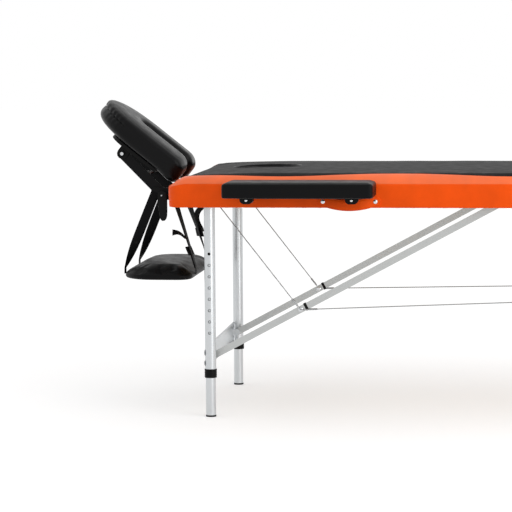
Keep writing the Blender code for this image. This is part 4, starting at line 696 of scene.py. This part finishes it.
# The first number sets how far out from the leg's middle the rings of painted shade sit in the holes.
hole_shade_out, hole_pitch = 0.016, 0.030
collar_profile = [(15.86, 104.6), (16.0, 104.4), (16.3, 105.0), (16.35, 107.4), (16.1, 108.0), (16.1, 110.2),
                  (16.35, 110.8), (16.35, 113.0), (16.1, 113.6), (16.1, 115.8), (16.35, 116.4), (16.35, 118.6),
                  (16.1, 119.2), (16.1, 123.0), (16.35, 123.6), (16.35, 126.4), (16.1, 127.4), (15.86, 127.5)]
for end, side, name in legs:
    finish(anodised, f"{name}_leg", f"{name}_inner_tube")
    finish(rubber, f"{name}_rubber_foot")
    finish(nylon, f"{name}_button")
    x, y = leg_x[end], sign[side] * leg_spread[end]
    collar = finish_mesh(f"{name}_collar", *skin(lathe(collar_profile, 48, x, y), closed=True), nylon, 40)
    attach(collar, f"{end}_legs"), collar
finish(zinc_steel, *[f"{name}_leg_hanger" for _, _, name in legs], "head_brace_hanger", "foot_brace_hanger")
# Painted shade: a thin dark ring sunk just inside each hole below the button stands for the shadow in the
# hole's bore, between the outer and the inner tube.
hole_shade_profile = [(3.9, -1), (3.9, 0), (3.6, 0.1), (3.3, -0.1), (3.3, -1)]
hole_shade_ring = turned_part("hole_liner", hole_shade_profile, 20, closed=True)
for end, side, name in legs:
    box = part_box(f"{name}_button")
    x, z = (box[0].x + box[1].x) / 2, (box[0].z + box[1].z) / 2
    out, y = (0, sign[side], 0), sign[side] * (leg_spread[end] + hole_shade_out)
    holes = [((x, y, z - hole_pitch * i), out, lengthwise) for i in range(1, 8)]
    set_out(f"{name}_hole_liners", f"{end}_legs", holes, hole_shade_ring, nylon)


# A rolled aluminium channel ties each pair of legs, bolted through both tubes near the collar.
finish(anodised, "head_cross_channel", "foot_cross_channel")
bolt_head = turned_part("hexagon_head", [(6, 0), (6.2, 0.3), (6.2, 1.4), (5.6, 1.9)], 6)
washer = turned_part("washer", [(8.5, 0), (8.8, 0.2), (8.8, 0.7), (8.4, 0.9)], 28)
channel_face = {"head": fold_x - 0.841, "foot": fold_x + 0.841}
channel_middle = {"head": 0.1565, "foot": 0.235}
for away, end in halves:
    face, middle, spread = channel_face[end], channel_middle[end], leg_spread[end]
    spots = [(face, s * spread, middle + dz) for s in (-1, 1) for dz in (-0.014, 0.014)]
    seats = [(spot, (away, 0, 0), (0, 1, 0)) for spot in spots]
    set_out(f"{end}_channel_washers", f"{end}_legs", seats, washer, zinc_steel)
    tops = [((x + away * 0.0008, y, z), (away, 0, 0), (0, 1, 0)) for x, y, z in spots]
    set_out(f"{end}_channel_bolts", f"{end}_legs", tops, bolt_head, zinc_steel, turn=0.5, seed=6)


# Two flat aluminium bars brace each leg and meet in a riveted knuckle. A black nylon sleeve is
# pressed over the upper bar beside the knuckle, and keeps the bars apart as they fold.
finish(dull_bar, *[f"{name}_{place}_brace" for _, _, name in legs for place in ("lower", "upper")])
knuckle = {"head": (fold_x - 0.589126, 0.28427), "foot": (fold_x + 0.631354, 0.32066)}
brace_top = {"head": (fold_x - 0.036, 0.582), "foot": (fold_x + 0.036, 0.582)}
upper_bar = {"head": (0.2510, 0.2545), "foot": (0.1255, 0.1290)}
lower_bar = {"head": 0.2470, "foot": 0.1215}
rivet = turned_part("rivet_cap", [(6.3, 0), (6.4, 0.4), (6.3, 2), (5.5, 2.6), (3.4, 3.1), (1.2, 3.3)], 24)
bar_half, sleeve_rings = 0.009, ((0.0125, 0.0009), (0.0130, 0.0016), (0.0195, 0.0016), (0.0200, 0.0009))
for away, end in halves:
    k, t = Vector(knuckle[end]), Vector(brace_top[end])
    way = (t - k).normalized()
    up = Vector((-way.y, way.x)) * -away
    low, high = upper_bar[end]
    for side, s in sign.items():
        rows = []
        for along, grow in sleeve_rings:
            inner_y, outer_y = low - grow * 0.12, high + grow * 0.45
            ring = []
            for a, y in ((-1, inner_y), (-1, outer_y), (1, outer_y), (1, inner_y)):
                p = k + way * along + up * (a * (bar_half + grow))
                ring.append((p.x, s * y, p.y))
            rows.append(ring)
        sleeve = finish_mesh(f"{end}_{side}_brace_sleeve", *skin(rows), nylon, 30)
        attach(sleeve, f"{end}_upper_braces"), sleeve
    caps = [((k.x, s * high, k.y), (0, s, 0), lengthwise) for s in (-1, 1)]
    caps += [((t.x, s * low, t.y), (0, -s, 0), lengthwise) for s in (-1, 1)]
    set_out(f"{end}_knuckle_rivets", f"{end}_upper_braces", caps, rivet, bright_steel)
    inner = [((k.x, s * lower_bar[end], k.y), (0, -s, 0), lengthwise) for s in (-1, 1)]
    set_out(f"{end}_inner_rivets", f"{end}_lower_braces", inner, rivet, bright_steel)


# A steel wire rope runs on each side from one leg pivot over both knuckles to the other, and locks
# the braces when the table stands. Pressed sleeves close the loops beside the knuckles.
# Seven strands: the lay's valleys are darkened with painted shade and its crowns brightened with a painted
# highlight.
strands = (130.0, 0.0, (0.5, 0.0003))
rope = laid("stranded steel rope", "6E7072", "BEC0C2", *strands, Metallic=1.0, Roughness=0.38)
rope_radius = 0.0014


def way_at(points, i):
    """The way a run of points heads at one of them."""
    return (Vector(points[min(i + 1, len(points) - 1)]) - Vector(points[max(i - 1, 0)])).normalized()


def joined(*shells):
    """Several closed shells, each points and faces, as one."""
    verts, faces = [], []
    for more, more_faces in shells:
        faces += [tuple(i + len(verts) for i in f) for f in more_faces]
        verts += more
    return verts, faces


def sweep(points, sizes, sides=10):
    """A tube along points, each with its own radius."""
    rows, side = [], None
    turns = [2 * pi * j / sides for j in range(sides)]
    for i, p in enumerate(points):
        way = way_at(points, i)
        side = (side - way * side.dot(way) if side else way.cross(Vector((0, 0, 1)))).normalized()
        up = way.cross(side)
        rows.append([tuple(Vector(p) + (side * cos(a) + up * sin(a)) * sizes[i]) for a in turns])
    return rows


def rope_run(places):
    """The rope's points through given places, with two more on each stretch."""
    points = []
    for a, b in zip(places, places[1:]):
        points += [tuple(Vector(a).lerp(Vector(b), share)) for share in (0.0, 0.3, 0.7)]
    return points + [places[-1]]


middle_rise = (fold_x - knuckle["head"][0]) / (knuckle["foot"][0] - knuckle["head"][0])
cable_y, anchor_z = {"head": (0.2606, 0.2586), "foot": (0.2056, 0.1331)}, 0.589
crimp = [(0, 0.0015), (0.0006, 0.0025), (0.024, 0.0025), (0.0246, 0.0015)]
for side, s in sign.items():
    shoulder = {end: (knuckle[end][0], s * cable_y[end][1], knuckle[end][1]) for end in ("head", "foot")}
    anchor = {end: (leg_x[end], s * cable_y[end][0], anchor_z) for end in ("head", "foot")}
    mid = tuple(Vector(shoulder["head"]).lerp(Vector(shoulder["foot"]), middle_rise))
    for end in ("head", "foot"):
        points, bend = rope_run([anchor[end], shoulder[end], mid]), Vector(shoulder[end])
        shells = [skin(sweep(points, [rope_radius] * len(points)))]
        for towards, offset in ((mid, 0.020), (anchor[end], 0.012)):
            way = (Vector(towards) - bend).normalized()
            line = [tuple(bend + way * (offset + d)) for d, _ in crimp]
            shells.append(skin(sweep(line, [r for _, r in crimp], 12)))
        run = finish_mesh(f"{end}_{side}_wire_rope", *joined(*shells), rope, 50)
        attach(run, f"{end}_half"), run
        if end == "head":
            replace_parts(run, f"cable_{side}")
        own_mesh(run)


# The carrying handles: a strap of folded orange leathercloth over webbing, sewn along both edges and
# held at each end by a domed cap screw through the rail. It stands out and hangs a little.
handle_x = {"head": fold_x - 0.453, "foot": fold_x + 0.453}
handle_bulge = {"head": 0.008, "foot": 0.013}
handle_stand = {"head": 0.0003, "foot": 0.005}
handle_z, handle_half, handle_reach, screw_pitch, handle_steps = 0.576, 0.014, 0.082, 0.068, 64
strap_section = [(-1, 0.35), (-0.97, 0.85), (-0.88, 0.98), (-0.82, 0.78), (-0.76, 1.0), (-0.4, 1.06), (0, 1.1),
                 (0.4, 1.06), (0.76, 1.0), (0.82, 0.78), (0.88, 0.98), (0.97, 0.85), (1, 0.35), (0.95, 0.0),
                 (0, -0.05), (-0.95, 0.0)]
nearwards = (0, -1, 0)
cap_profile = [(5.6, 0), (6, 0.4), (6, 1.2), (5.4, 2.4), (4, 3.2), (2.2, 3.6), (0.6, 3.7)]
cap_screw = turned_part("cap_screw", cap_profile, 28)
for end in ("head", "foot"):
    rows, edge_places = [], []
    for i in range(handle_steps + 1):
        along = -handle_reach + 2 * handle_reach * i / handle_steps
        lift = max(cos(pi / 2 * min(abs(along) / screw_pitch, 1)), 0)
        out = half_width + handle_stand[end] + handle_bulge[end] * min(lift / 0.77, 1)
        height = handle_z - 0.010 * lift
        tab = sqrt(max(1 - (max(abs(along) - 0.070, 0) / 0.0122) ** 2, 0.01))
        half = handle_half * tab * (1 - 0.10 * exp(-((abs(along) - screw_pitch) / 0.012) ** 2))
        thick = 0.0026 + 0.0008 * lift
        pucker = 0.0005 * sin(along * 900) * exp(-((abs(along) - 0.058) / 0.012) ** 2)
        ring = []
        for share, depth in strap_section:
            y = out + thick * depth + (pucker * cos(share * 3) if depth > 0.5 else 0)
            ring.append((handle_x[end] + along, -max(y, half_width + 0.0002), height + half * share))
        rows.append(ring)
        if abs(along) < 0.0745 and i % 2 == 0:
            for share in (-0.82, 0.82):
                spot = (handle_x[end] + along, -(out + thick * 0.80), height + half * share)
                edge_places.append((spot, nearwards, lengthwise))
    strap = finish_mesh(f"{end}_handle_strap", *skin(rows), orange_cloth, 50)
    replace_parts(strap, f"{end}_handle"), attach(strap, f"{end}_half"), strap
    set_out(f"{end}_handle_stitches", f"{end}_half", edge_places, stitch, orange_thread)
    face = half_width + handle_stand[end] + 0.0027
    screws = [handle_x[end] + s * screw_pitch for s in (-1, 1)]
    caps = [((x, -face, handle_z), nearwards, lengthwise) for x in screws]
    set_out(f"{end}_handle_screws", f"{end}_half", caps, cap_screw, bright_steel)
    if handle_stand[end] > 0.002:
        spacer = turned_part(f"{end}_handle_spacer", [(5, 0), (5, handle_stand[end] / mm + 0.4)], 20)
        stands = [((x, -half_width - 0.0001, handle_z), nearwards, lengthwise) for x in screws]
        set_out(f"{end}_handle_spacers", f"{end}_half", stands, spacer, nylon)


# Padded pieces are foam under the black cloth. The cloth is blown up from its sewn lines by a short
# cloth simulation, which gives the fullness between seams, and then the seams are drawn in.
air_pressure, puff_frames = 4.0, 20


def puff(piece, held, voxel, cap):
    """Blows a closed piece up where held(point) is below 1; no point moves further than the cap."""
    even = piece.modifiers.new("even mesh", "REMESH")
    even.mode, even.voxel_size = "VOXEL", voxel
    mesh = solid_copy(piece)
    piece.modifiers.remove(even)
    old = piece.data
    piece.data = mesh
    bpy.data.meshes.remove(old)
    start = [v.co.copy() for v in mesh.vertices]
    group = piece.vertex_groups.new(name="held")
    for v in mesh.vertices:
        group.add([v.index], held(v.co), "REPLACE")
    cloth = piece.modifiers.new("cloth", "CLOTH")
    cloth.settings.use_pressure = True
    cloth.settings.uniform_pressure_force = air_pressure
    cloth.settings.vertex_group_mass = "held"
    cloth.settings.effector_weights.gravity = 0
    cloth.settings.quality = 4
    for number in range(1, puff_frames + 1):
        bpy.context.scene.frame_set(number)
    blown = piece.evaluated_get(bpy.context.evaluated_depsgraph_get())
    ends = [v.co.copy() for v in blown.data.vertices]
    piece.modifiers.remove(cloth)
    piece.vertex_groups.clear()
    bpy.context.scene.frame_set(1)
    for v, a, b in zip(mesh.vertices, start, ends):
        move = b - a
        v.co = a + move * min(1, cap / max(move.length, 1e-9)) * (1 - held(a) * 0.999)
    finer = piece.modifiers.new("smooth", "SUBSURF")
    finer.levels = finer.render_levels = 1
    smooth = solid_copy(piece)
    piece.modifiers.remove(finer)
    piece.data = smooth
    bpy.data.meshes.remove(mesh)
    smooth.shade_smooth()


def soft_block(low, high, corners, edge, crown, roll, taper=1.0):
    """A block with edges that roll in over the top, tight ones below, and a crowned top."""
    tight, bends = edge * 0.3, [pi / 2 * i / 6 for i in range(7)]
    quarters = ((1, -1, -pi / 2), (1, 1, 0), (-1, 1, pi / 2), (-1, -1, pi))

    def plan(inset):
        outline = []
        for (cx, cy, turn), radius in zip(quarters, corners):
            r = max(radius - inset, radius / 4)
            x = (high[0] - inset - r) if cx > 0 else (low[0] + inset + r)
            y = (high[1] - inset - r) if cy > 0 else (low[1] + inset + r)
            angles = [turn + pi / 2 * i / 12 for i in range(13)]
            outline += [(x + r * cos(a), y + r * sin(a)) for a in angles]
        return outline

    levels = [(tight * (1 - sin(a)), low[2] + tight * (1 - cos(a))) for a in bends]
    levels += [(roll * (1 - cos(a)) ** taper, high[2] - crown - edge * (1 - sin(a))) for a in bends]
    levels.append((2 * roll + 0.004, high[2]))
    return skin([[(x, y, z) for x, y in plan(inset)] for inset, z in levels])


# The side armrests: foam-padded bars on a nylon carrier, whose two steel rods slide in the rail.
finish(nylon, "armrest_near_carrier", "armrest_far_carrier")
rod_end = turned_part("rod_end", [(3, 0), (3.4, 0.4), (3.4, 1), (2.8, 1.6), (0.8, 1.8)], 24)
rod_places, rod_z, rod_screw_z, rod_screw_y = (-0.44, -0.71), 0.5875, 0.5850, 0.4326
rod_line = [(0.3425, 0.0046), (0.345, 0.00475), (0.380, 0.00475), (0.4010, 0.0046)]
for side, s in sign.items():
    y = sorted((s * 0.345, s * 0.490))
    low, high = (fold_x - 0.767, y[0] + 0.0012, 0.593), (fold_x - 0.382, y[1] - 0.0012, 0.6335)
    block = soft_block(low, high, (0.010,) * 4, 0.005, 0.0035, 0.005)
    pad = finish_mesh(f"armrest_{side}_cushion", *block, black_cloth, 60)

    def sewn(p):
        """The cloth is tacked below and sewn round the top's edge, and gives along the sides."""
        if p.z < 0.5965 or p.z > 0.6285 and abs(p.y - s * 0.4175) > 0.064:
            return 1.0
        return 0.35 if p.z < 0.603 else 0.2

    puff(pad, sewn, voxel=0.0035, cap=0.0030)
    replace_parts(pad, f"armrest_{side}_pad"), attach(pad, f"armrest_{side}"), pad
    routes = [[(fold_x + x, s * d, rod_z) for d, _ in rod_line] for x in rod_places]
    shells = [skin(sweep(route, [r for _, r in rod_line], 20)) for route in routes]
    rods = finish_mesh(f"armrest_{side}_rods", *joined(*shells), bright_steel, 50)
    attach(rods, f"armrest_{side}"), rods
    ends = [((fold_x + x, s * rod_screw_y, rod_screw_z), (0, s, 0), lengthwise) for x in rod_places]
    set_out(f"armrest_{side}_rod_screws", f"armrest_{side}", ends, rod_end, bright_steel)


# The headrest: black powder-coated steel brackets and a black moulded platform, under a horseshoe
# cushion in two halves, top and bottom, sewn together along a gathered seam round its side.
coated = plastic("black powder-coated steel", "08080A", 0.38)
finish(coated, "headrest_base", "headrest_arm")
finish(nylon, "headrest_platform")
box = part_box("headrest_lever")
pivot_x, pivot_z = fold_x - 0.982, 0.576
outline = [(-11.5, 0), (-11, 4.5), (-8.5, 9), (-4.5, 11.6), (0.5, 12.4), (6, 11.4), (10.5, 8.4), (13.2, 4),
           (14.4, -4), (15, -14), (15, -44), (14.2, -56), (11.8, -64), (7.5, -68.5), (2, -69.6), (-2.8, -66.8),
           (-5.6, -60), (-7.6, -48), (-10, -28), (-11.2, -12)]
slices = [(1.2, box[1].y), (0.3, box[1].y - 0.0006), (0.0, box[1].y - 0.0014),
          (0.0, box[0].y + 0.0016), (0.4, box[0].y + 0.0006), (1.6, box[0].y)]
rows = []
for shrink, y in slices:
    shape = [(a - shrink * (a - 1.5) / 13, b - shrink * (b + 28) / 41) for a, b in outline]
    rows.append([(pivot_x + a * mm, y, pivot_z + b * mm) for a, b in shape])
lever = finish_mesh("moulded_cam_lever", *skin(rows), nylon, 40)
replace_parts(lever, "headrest_lever"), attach(lever, "headrest_lever"), lever
bolt_x, bolt_z, platform_lean = fold_x - 1.093024, 0.68898, radians(38.5)
tilt = Matrix.Translation((bolt_x, 0, bolt_z)) @ Matrix.Rotation(platform_lean, 4, "Y")


def horseshoe(grow):
    """Rings round the horseshoe's section, from the near end round the bend to the far end."""
    outer_reach, inner_reach, width, lobe = 0.130, 0.165, 0.280, 0.114
    nose, lift, thick, sides = 0.038, 0.0275, 0.070, 48
    lane, bend, straight = (width - lobe) / 2, -outer_reach + width / 2, inner_reach - nose
    arm = []
    for i in range(9):
        a = pi / 2 * (i + 0.35) / 9
        arm.append((inner_reach - grow - nose * (1 - cos(a)), (sin(a) ** 0.45, sin(a), sin(a) ** 0.2)))
    arm += [(straight + (bend - straight) * i / 6, (1, 1, 1)) for i in range(6)]
    stations = [((a, -lane), (0, -1), full) for a, full in arm]
    for i in range(33):
        a = -pi / 2 - pi * i / 32
        stations.append(((bend + lane * cos(a), lane * sin(a)), (cos(a), sin(a)), (1, 1, 1)))
    stations += [((a, lane), (0, 1), full) for a, full in reversed(arm)]
    rows = []
    for (px, py), (hx, hy), full in stations:
        ring = []
        for i in range(sides):
            a = 2 * pi * i / sides
            c, u = cos(a), sin(a)
            if u > 0 and c < 0:
                out, up = -0.020 - 0.037 * abs(c) ** 0.45, u ** 0.55
            elif u > 0:
                out = -0.020 + 0.077 * c ** 0.38
                up = (0.027 * u ** 0.38 + 0.008 * (1 - c ** 0.76) * u ** 0.38) / 0.035
            else:
                out, up = lobe / 2 * abs(c) ** 0.5 * (1 if c >= 0 else -1), -(abs(u) ** 0.5)
            out *= full[0] * (1 - grow / (lobe / 2))
            height = (thick / 2 * (full[1] if u > 0 else full[2]) - grow * 0.5) * up
            if u < 0:
                height -= 0.007 * min(max((px - 0.080) / 0.06, 0), 1) ** 2 * abs(up)
            ring.append((px + out * hx, py + out * hy, lift + thick / 2 + height))
        rows.append(ring)
    return skin(rows)


seam_at, seam_half, bend_x = 0.0665, 0.0022, 0.016
cushion = finish_mesh("headrest_horseshoe", *horseshoe(0.002), glossy_cloth, 60)


def gathered(p):
    """The cloth is tacked below and sewn along the seam, and gives between them."""
    return 1.0 if p.z < 0.0310 or abs(p.z - seam_at) < seam_half else 0.25


puff(cushion, gathered, voxel=0.004, cap=0.004)
for v in cushion.data.vertices:
    p, hand = v.co, 1 if v.co.y > 0 else -1
    bend = p.x < bend_x
    away = Vector((p.x - bend_x if bend else 0, p.y, 0))
    if away.length < 0.09 and p.x < 0.135:
        continue
    round_it = atan2(p.y, bend_x - p.x) if bend else hand * ((p.x - bend_x) * 9 + pi / 2)
    outer = exp(-(max(p.x + 0.060, 0) / 0.035) ** 2)
    pinch = exp(-((p.z - seam_at) / seam_half) ** 2) * (0.0007 + 0.0035 * outer)
    upper, lower = exp(-((p.z - 0.0840) / 0.010) ** 2), exp(-((p.z - 0.0480) / 0.011) ** 2)
    belly = outer * (0.0030 * upper + 0.0022 * lower)
    gathers = sin(round_it * 40 + 2.2 * sin(round_it * 7)) * exp(-abs(p.z - seam_at - 0.004) / 0.010)
    gathers *= 0.0010 * outer
    piping = 0.0006 * exp(-((p.z - 0.0900) / 0.0016) ** 2)
    v.co += away.normalized() * (belly + gathers - pinch - piping)
cushion.data.transform(tilt)
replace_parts(cushion, "headrest_cushion")
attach(cushion, "headrest_platform"), cushion

dome_profile = [(4.6, 0), (5, 0.5), (5, 2), (4.4, 2.8), (2.6, 3.1), (2.2, 2), (0.5, 1.9)]
bolt_dome = turned_part("tilt_bolt_cap", dome_profile, 28)
places = [((bolt_x, s * 0.0974, bolt_z), (0, s, 0), lengthwise) for s in (-1, 1)]
set_out("tilt_bolt_caps", "headrest_arm", places, bolt_dome, bright_steel)
pin_cap = turned_part("pivot_pin_cap", [(1.9, 0), (2.2, 0.2), (2.2, 1), (1.6, 1.5), (0.4, 1.7)], 24)
places = [((pivot_x, y, pivot_z), (0, s, 0), lengthwise) for y, s in ((-0.1148, -1), (0.1085, 1))]
set_out("pivot_pin_caps", "headrest_base", places, pin_cap, zinc_steel)


# The arm shelf: a padded board in the same black cloth, hung under the headrest on four straps. Its
# foam is thin at the edge, so the cloth slopes down to the seam.
low, high = (fold_x - 1.0835, -0.199, 0.3532), (fold_x - 0.8908, 0.199, 0.3930)
block = soft_block(low, high, (0.040, 0.040, 0.090, 0.090), 0.023, 0.004, 0.042, taper=0.7)
shelf = finish_mesh("padded_arm_shelf", *block, black_cloth, 60)
puff(shelf, lambda p: 1.0 if p.z < 0.3605 else 0.4 if p.z < 0.366 else 0.0, voxel=0.004, cap=0.0030)
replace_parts(shelf, "arm_shelf"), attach(shelf, "headrest_base"), shelf


# Four straps of black polypropylene webbing, 25 mm wide, sewn to the shelf, threaded through ladder
# buckles to set their length, with a snap on the outer ones and the loose ends hanging.
def webbing():
    """Woven polypropylene tape: ribs 2.5 mm apart along it and picks across, with a hard plastic glint."""
    name = "woven polypropylene webbing"
    material, tree, shader = new_material(name, Roughness=0.55, Specular_IOR_Level=0.08)
    way = add(tree, "ShaderNodeUVMap", uv_map="tape").outputs[0]
    split = add(tree, "ShaderNodeSeparateXYZ", {0: way})
    ribs = calc(tree, "COSINE", calc(tree, "MULTIPLY", split.outputs[0], 2 * pi * 10))
    picks = calc(tree, "COSINE", calc(tree, "MULTIPLY_ADD", split.outputs[1], 2 * pi / 0.0016, ribs))
    woven = {"Value": calc(tree, "ADD", ribs, picks), "From Min": -2.0, "From Max": 2.0}
    shade = add(tree, "ShaderNodeMapRange", woven).outputs[0]
    tree.links.new(two_tones(tree, shade, "040405", "0F0F11"), shader.inputs["Base Color"])
    relief(tree, shader, shade, 0.6, 0.0004)
    return material


tape_cloth = webbing()
tape_thick, web_width, doubled_width, tail_width = 0.0016, 0.025, 0.0245, 0.021
tape_section = [(-1, 0.0), (-0.94, 0.5), (-0.5, 0.5), (0, 0.5), (0.5, 0.5), (0.94, 0.5),
                (1, 0.0), (0.94, -0.5), (0.5, -0.5), (0, -0.5), (-0.5, -0.5), (-0.94, -0.5)]


def tape(points, broad, width):
    """A flat tape along points; broad is the way across its width at every point. Gives rows and lengths."""
    rows, lengths, run = [], [], 0.0
    for i, p in enumerate(points):
        p, way, b = Vector(p), way_at(points, i), Vector(broad[i])
        b = (b - way * b.dot(way)).normalized()
        n = way.cross(b)
        rows.append([tuple(p + b * (a * width / 2) + n * (t * tape_thick)) for a, t in tape_section])
        run += (p - Vector(points[i - 1])).length if i else 0
        lengths.append(run)
    return rows, lengths


def tape_piece(name, runs):
    """Closed tapes as one piece, with a UV map that says where a point is across and along its tape."""
    across = (0, 0.03, 0.25, 0.5, 0.75, 0.97, 1, 0.97, 0.75, 0.5, 0.25, 0.03)
    marks = [(share, length) for _, lengths in runs for length in lengths for share in across]
    return finish_mesh(name, *joined(*[skin(rows) for rows, _ in runs]), tape_cloth, 50, marks)


strap_lines = {"outer": (fold_x - 1.002, fold_x - 1.0850, -1), "inner": (fold_x - 0.954, fold_x - 0.8890, 1)}
strap_top, knee_z, foot_z = 0.583, 0.378, 0.363
strap_y, strap_spread, strap_sway, snap_share = 0.0957, 0.0143, 0.0012, 0.66
# A loose end: how far it stands off the buckle, its places from the fold and the way across it at each.
loose_ends = {
    "near": (0.003, [(-0.9110, -0.112, 0.4560), (-0.9185, -0.113, 0.4610), (-0.9290, -0.114, 0.4705),
                     (-0.9400, -0.115, 0.4755), (-0.9530, -0.116, 0.4755)],
             [(0, 1, 0.02), (0, 1, 0.08), (0, 1, 0.2), (0, 0.9, 0.4), (0, 0.6, 0.75)]),
    "far": (0.004, [(-0.9090, 0.111, 0.4660), (-0.9165, 0.114, 0.4800), (-0.9215, 0.117, 0.4960),
                    (-0.9200, 0.119, 0.5110), (-0.9125, 0.120, 0.5225), (-0.9000, 0.120, 0.5310),
                    (-0.8900, 0.120, 0.5350)],
            [(0.6, 0.8, 0.2), (0.6, 0.8, 0.1), (0.6, 0.8, 0), (0.6, 0.7, -0.2), (0.5, 0.7, -0.4),
             (0.4, 0.8, -0.4), (0.4, 0.8, -0.4)])}
# A ladder buckle: two sides and three cross bars over a thin plate, as two corners and a height.
buckle_bars = [((-0.0135, -0.0100), (-0.0103, 0.0100), 0.0030), ((0.0103, -0.0100), (0.0135, 0.0100), 0.0030),
               ((-0.0106, -0.0100), (0.0106, -0.0070), 0.0034), ((-0.0106, -0.0015), (0.0106, 0.0015), 0.0026),
               ((-0.0106, 0.0070), (0.0106, 0.0100), 0.0038), ((-0.0104, -0.0098), (0.0104, 0.0098), 0.0014)]
snap = turned_part("snap_stud", [(5.2, 0), (5.5, 0.4), (5.2, 1.2), (3.6, 1.6), (3, 1.2), (0.6, 1.3)], 24)


def strap_place(s, lean, top_x, foot_x, share, late):
    """A place on a strap, the way across it and the way out of it; it turns a quarter on its way down."""
    angle = pi / 2 * share ** late
    x, z = top_x + (foot_x - top_x) * share, strap_top + (knee_z - strap_top) * share
    y = strap_y + strap_spread * share + strap_sway * sin(share * pi * 2.5) * (1 - share)
    spin = 1 if lean < 0 and s < 0 else lean
    across = Vector((cos(angle), -spin * s * sin(angle), 0))
    return Vector((x, s * y, z)), across, Vector((spin * sin(angle), s * cos(angle), 0))


def tail(points, ways, width):
    """A loose end of tape, eased through its points."""
    smooth, across = [], []
    for i in range(len(points) - 1):
        before, a, b, after = (Vector(points[min(max(i + j, 0), len(points) - 1)]) for j in (-1, 0, 1, 2))
        for k in range(6):
            t = k / 6
            square, cube = 2 * before - 5 * a + 4 * b - after, 3 * a - before - 3 * b + after
            smooth.append(0.5 * (2 * a + (b - before) * t + square * t ** 2 + cube * t ** 3))
            across.append(Vector(ways[i]).lerp(Vector(ways[i + 1]), t))
    smooth.append(Vector(points[-1]))
    across.append(Vector(ways[-1]))
    return tape(smooth, across, width)


for place, (top_x, foot_x, lean) in strap_lines.items():
    for side, s in sign.items():
        name = f"{place}_strap_{side}"
        late = {("inner", "near"): 0.15, ("inner", "far"): 0.55}.get((place, side), 3)
        line = [strap_place(s, lean, top_x, foot_x, i / 32, late) for i in range(33)]
        points, across = [spot for spot, _, _ in line], [wide for _, wide, _ in line]
        points += [Vector((*points[-1].xy, z)) for z in (knee_z - 0.006, foot_z)]
        across += [across[-1]] * 2
        runs = [tape(points, across, web_width)]
        if place == "inner":
            # The web is doubled from the buckle down, and its loose end leaves the buckle upwards.
            share, face, lie = (0.77, -1, 0.8) if side == "near" else (0.61, 1, 1.3)
            hold, wide, out = strap_place(s, lean, top_x, foot_x, share, late)
            _, broad, stand = strap_place(s, lean, top_x, foot_x, share, lie)
            stand, way = stand * face, (points[20] - points[16]).normalized()
            shares = [share + (1 - share) * t / 8 for t in range(9)]
            doubled = [strap_place(s, lean, top_x, foot_x, part, late) for part in shares]
            middles = [spot + o * 0.0022 * face for spot, _, o in doubled]
            runs.append(tape(middles, [w for _, w, _ in doubled], doubled_width))
            stand_off, spots, ways = loose_ends[side]
            loose = [hold + out * face * stand_off] + [(fold_x + x, y, z) for x, y, z in spots]
            runs.append(tail(loose, [wide, *ways], tail_width))
        strap = tape_piece(name, runs)
        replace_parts(strap, f"shelf_{place}_strap_{side}")
        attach(strap, "headrest_base"), strap
        if place == "inner":
            shells = []
            for (a0, b0), (a1, b1), h in buckle_bars:
                rows = []
                for inset, depth in ((0.0005, -0.0006), (0.0, -0.0001), (0.0, h - 0.0008), (0.0008, h)):
                    a2, b2, a3, b3 = a0 + inset, b0 + inset, a1 - inset, b1 - inset
                    ring = []
                    for a, b in ((a2, b2), (a3, b2), (a3, b3), (a2, b3)):
                        off = depth * 1.4 + 0.0016 - b * 0.15
                        ring.append(tuple(hold + broad * a * 1.15 + way * b * 1.2 + stand * off))
                    rows.append(ring)
                shells.append(skin(rows))
            buckle = finish_mesh(f"{name}_buckle", *joined(*shells), nylon, 30)
            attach(buckle, "headrest_base"), buckle
        else:
            spot, wide, out = strap_place(s, lean, top_x, foot_x, snap_share, late)
            set_out(f"{name}_snap", "headrest_base", [(spot + out * 0.0008, out, wide)], snap, nylon)

for part in patterns:
    bpy.data.objects.remove(part)

bpy.context.scene.view_settings.view_transform = "Standard"
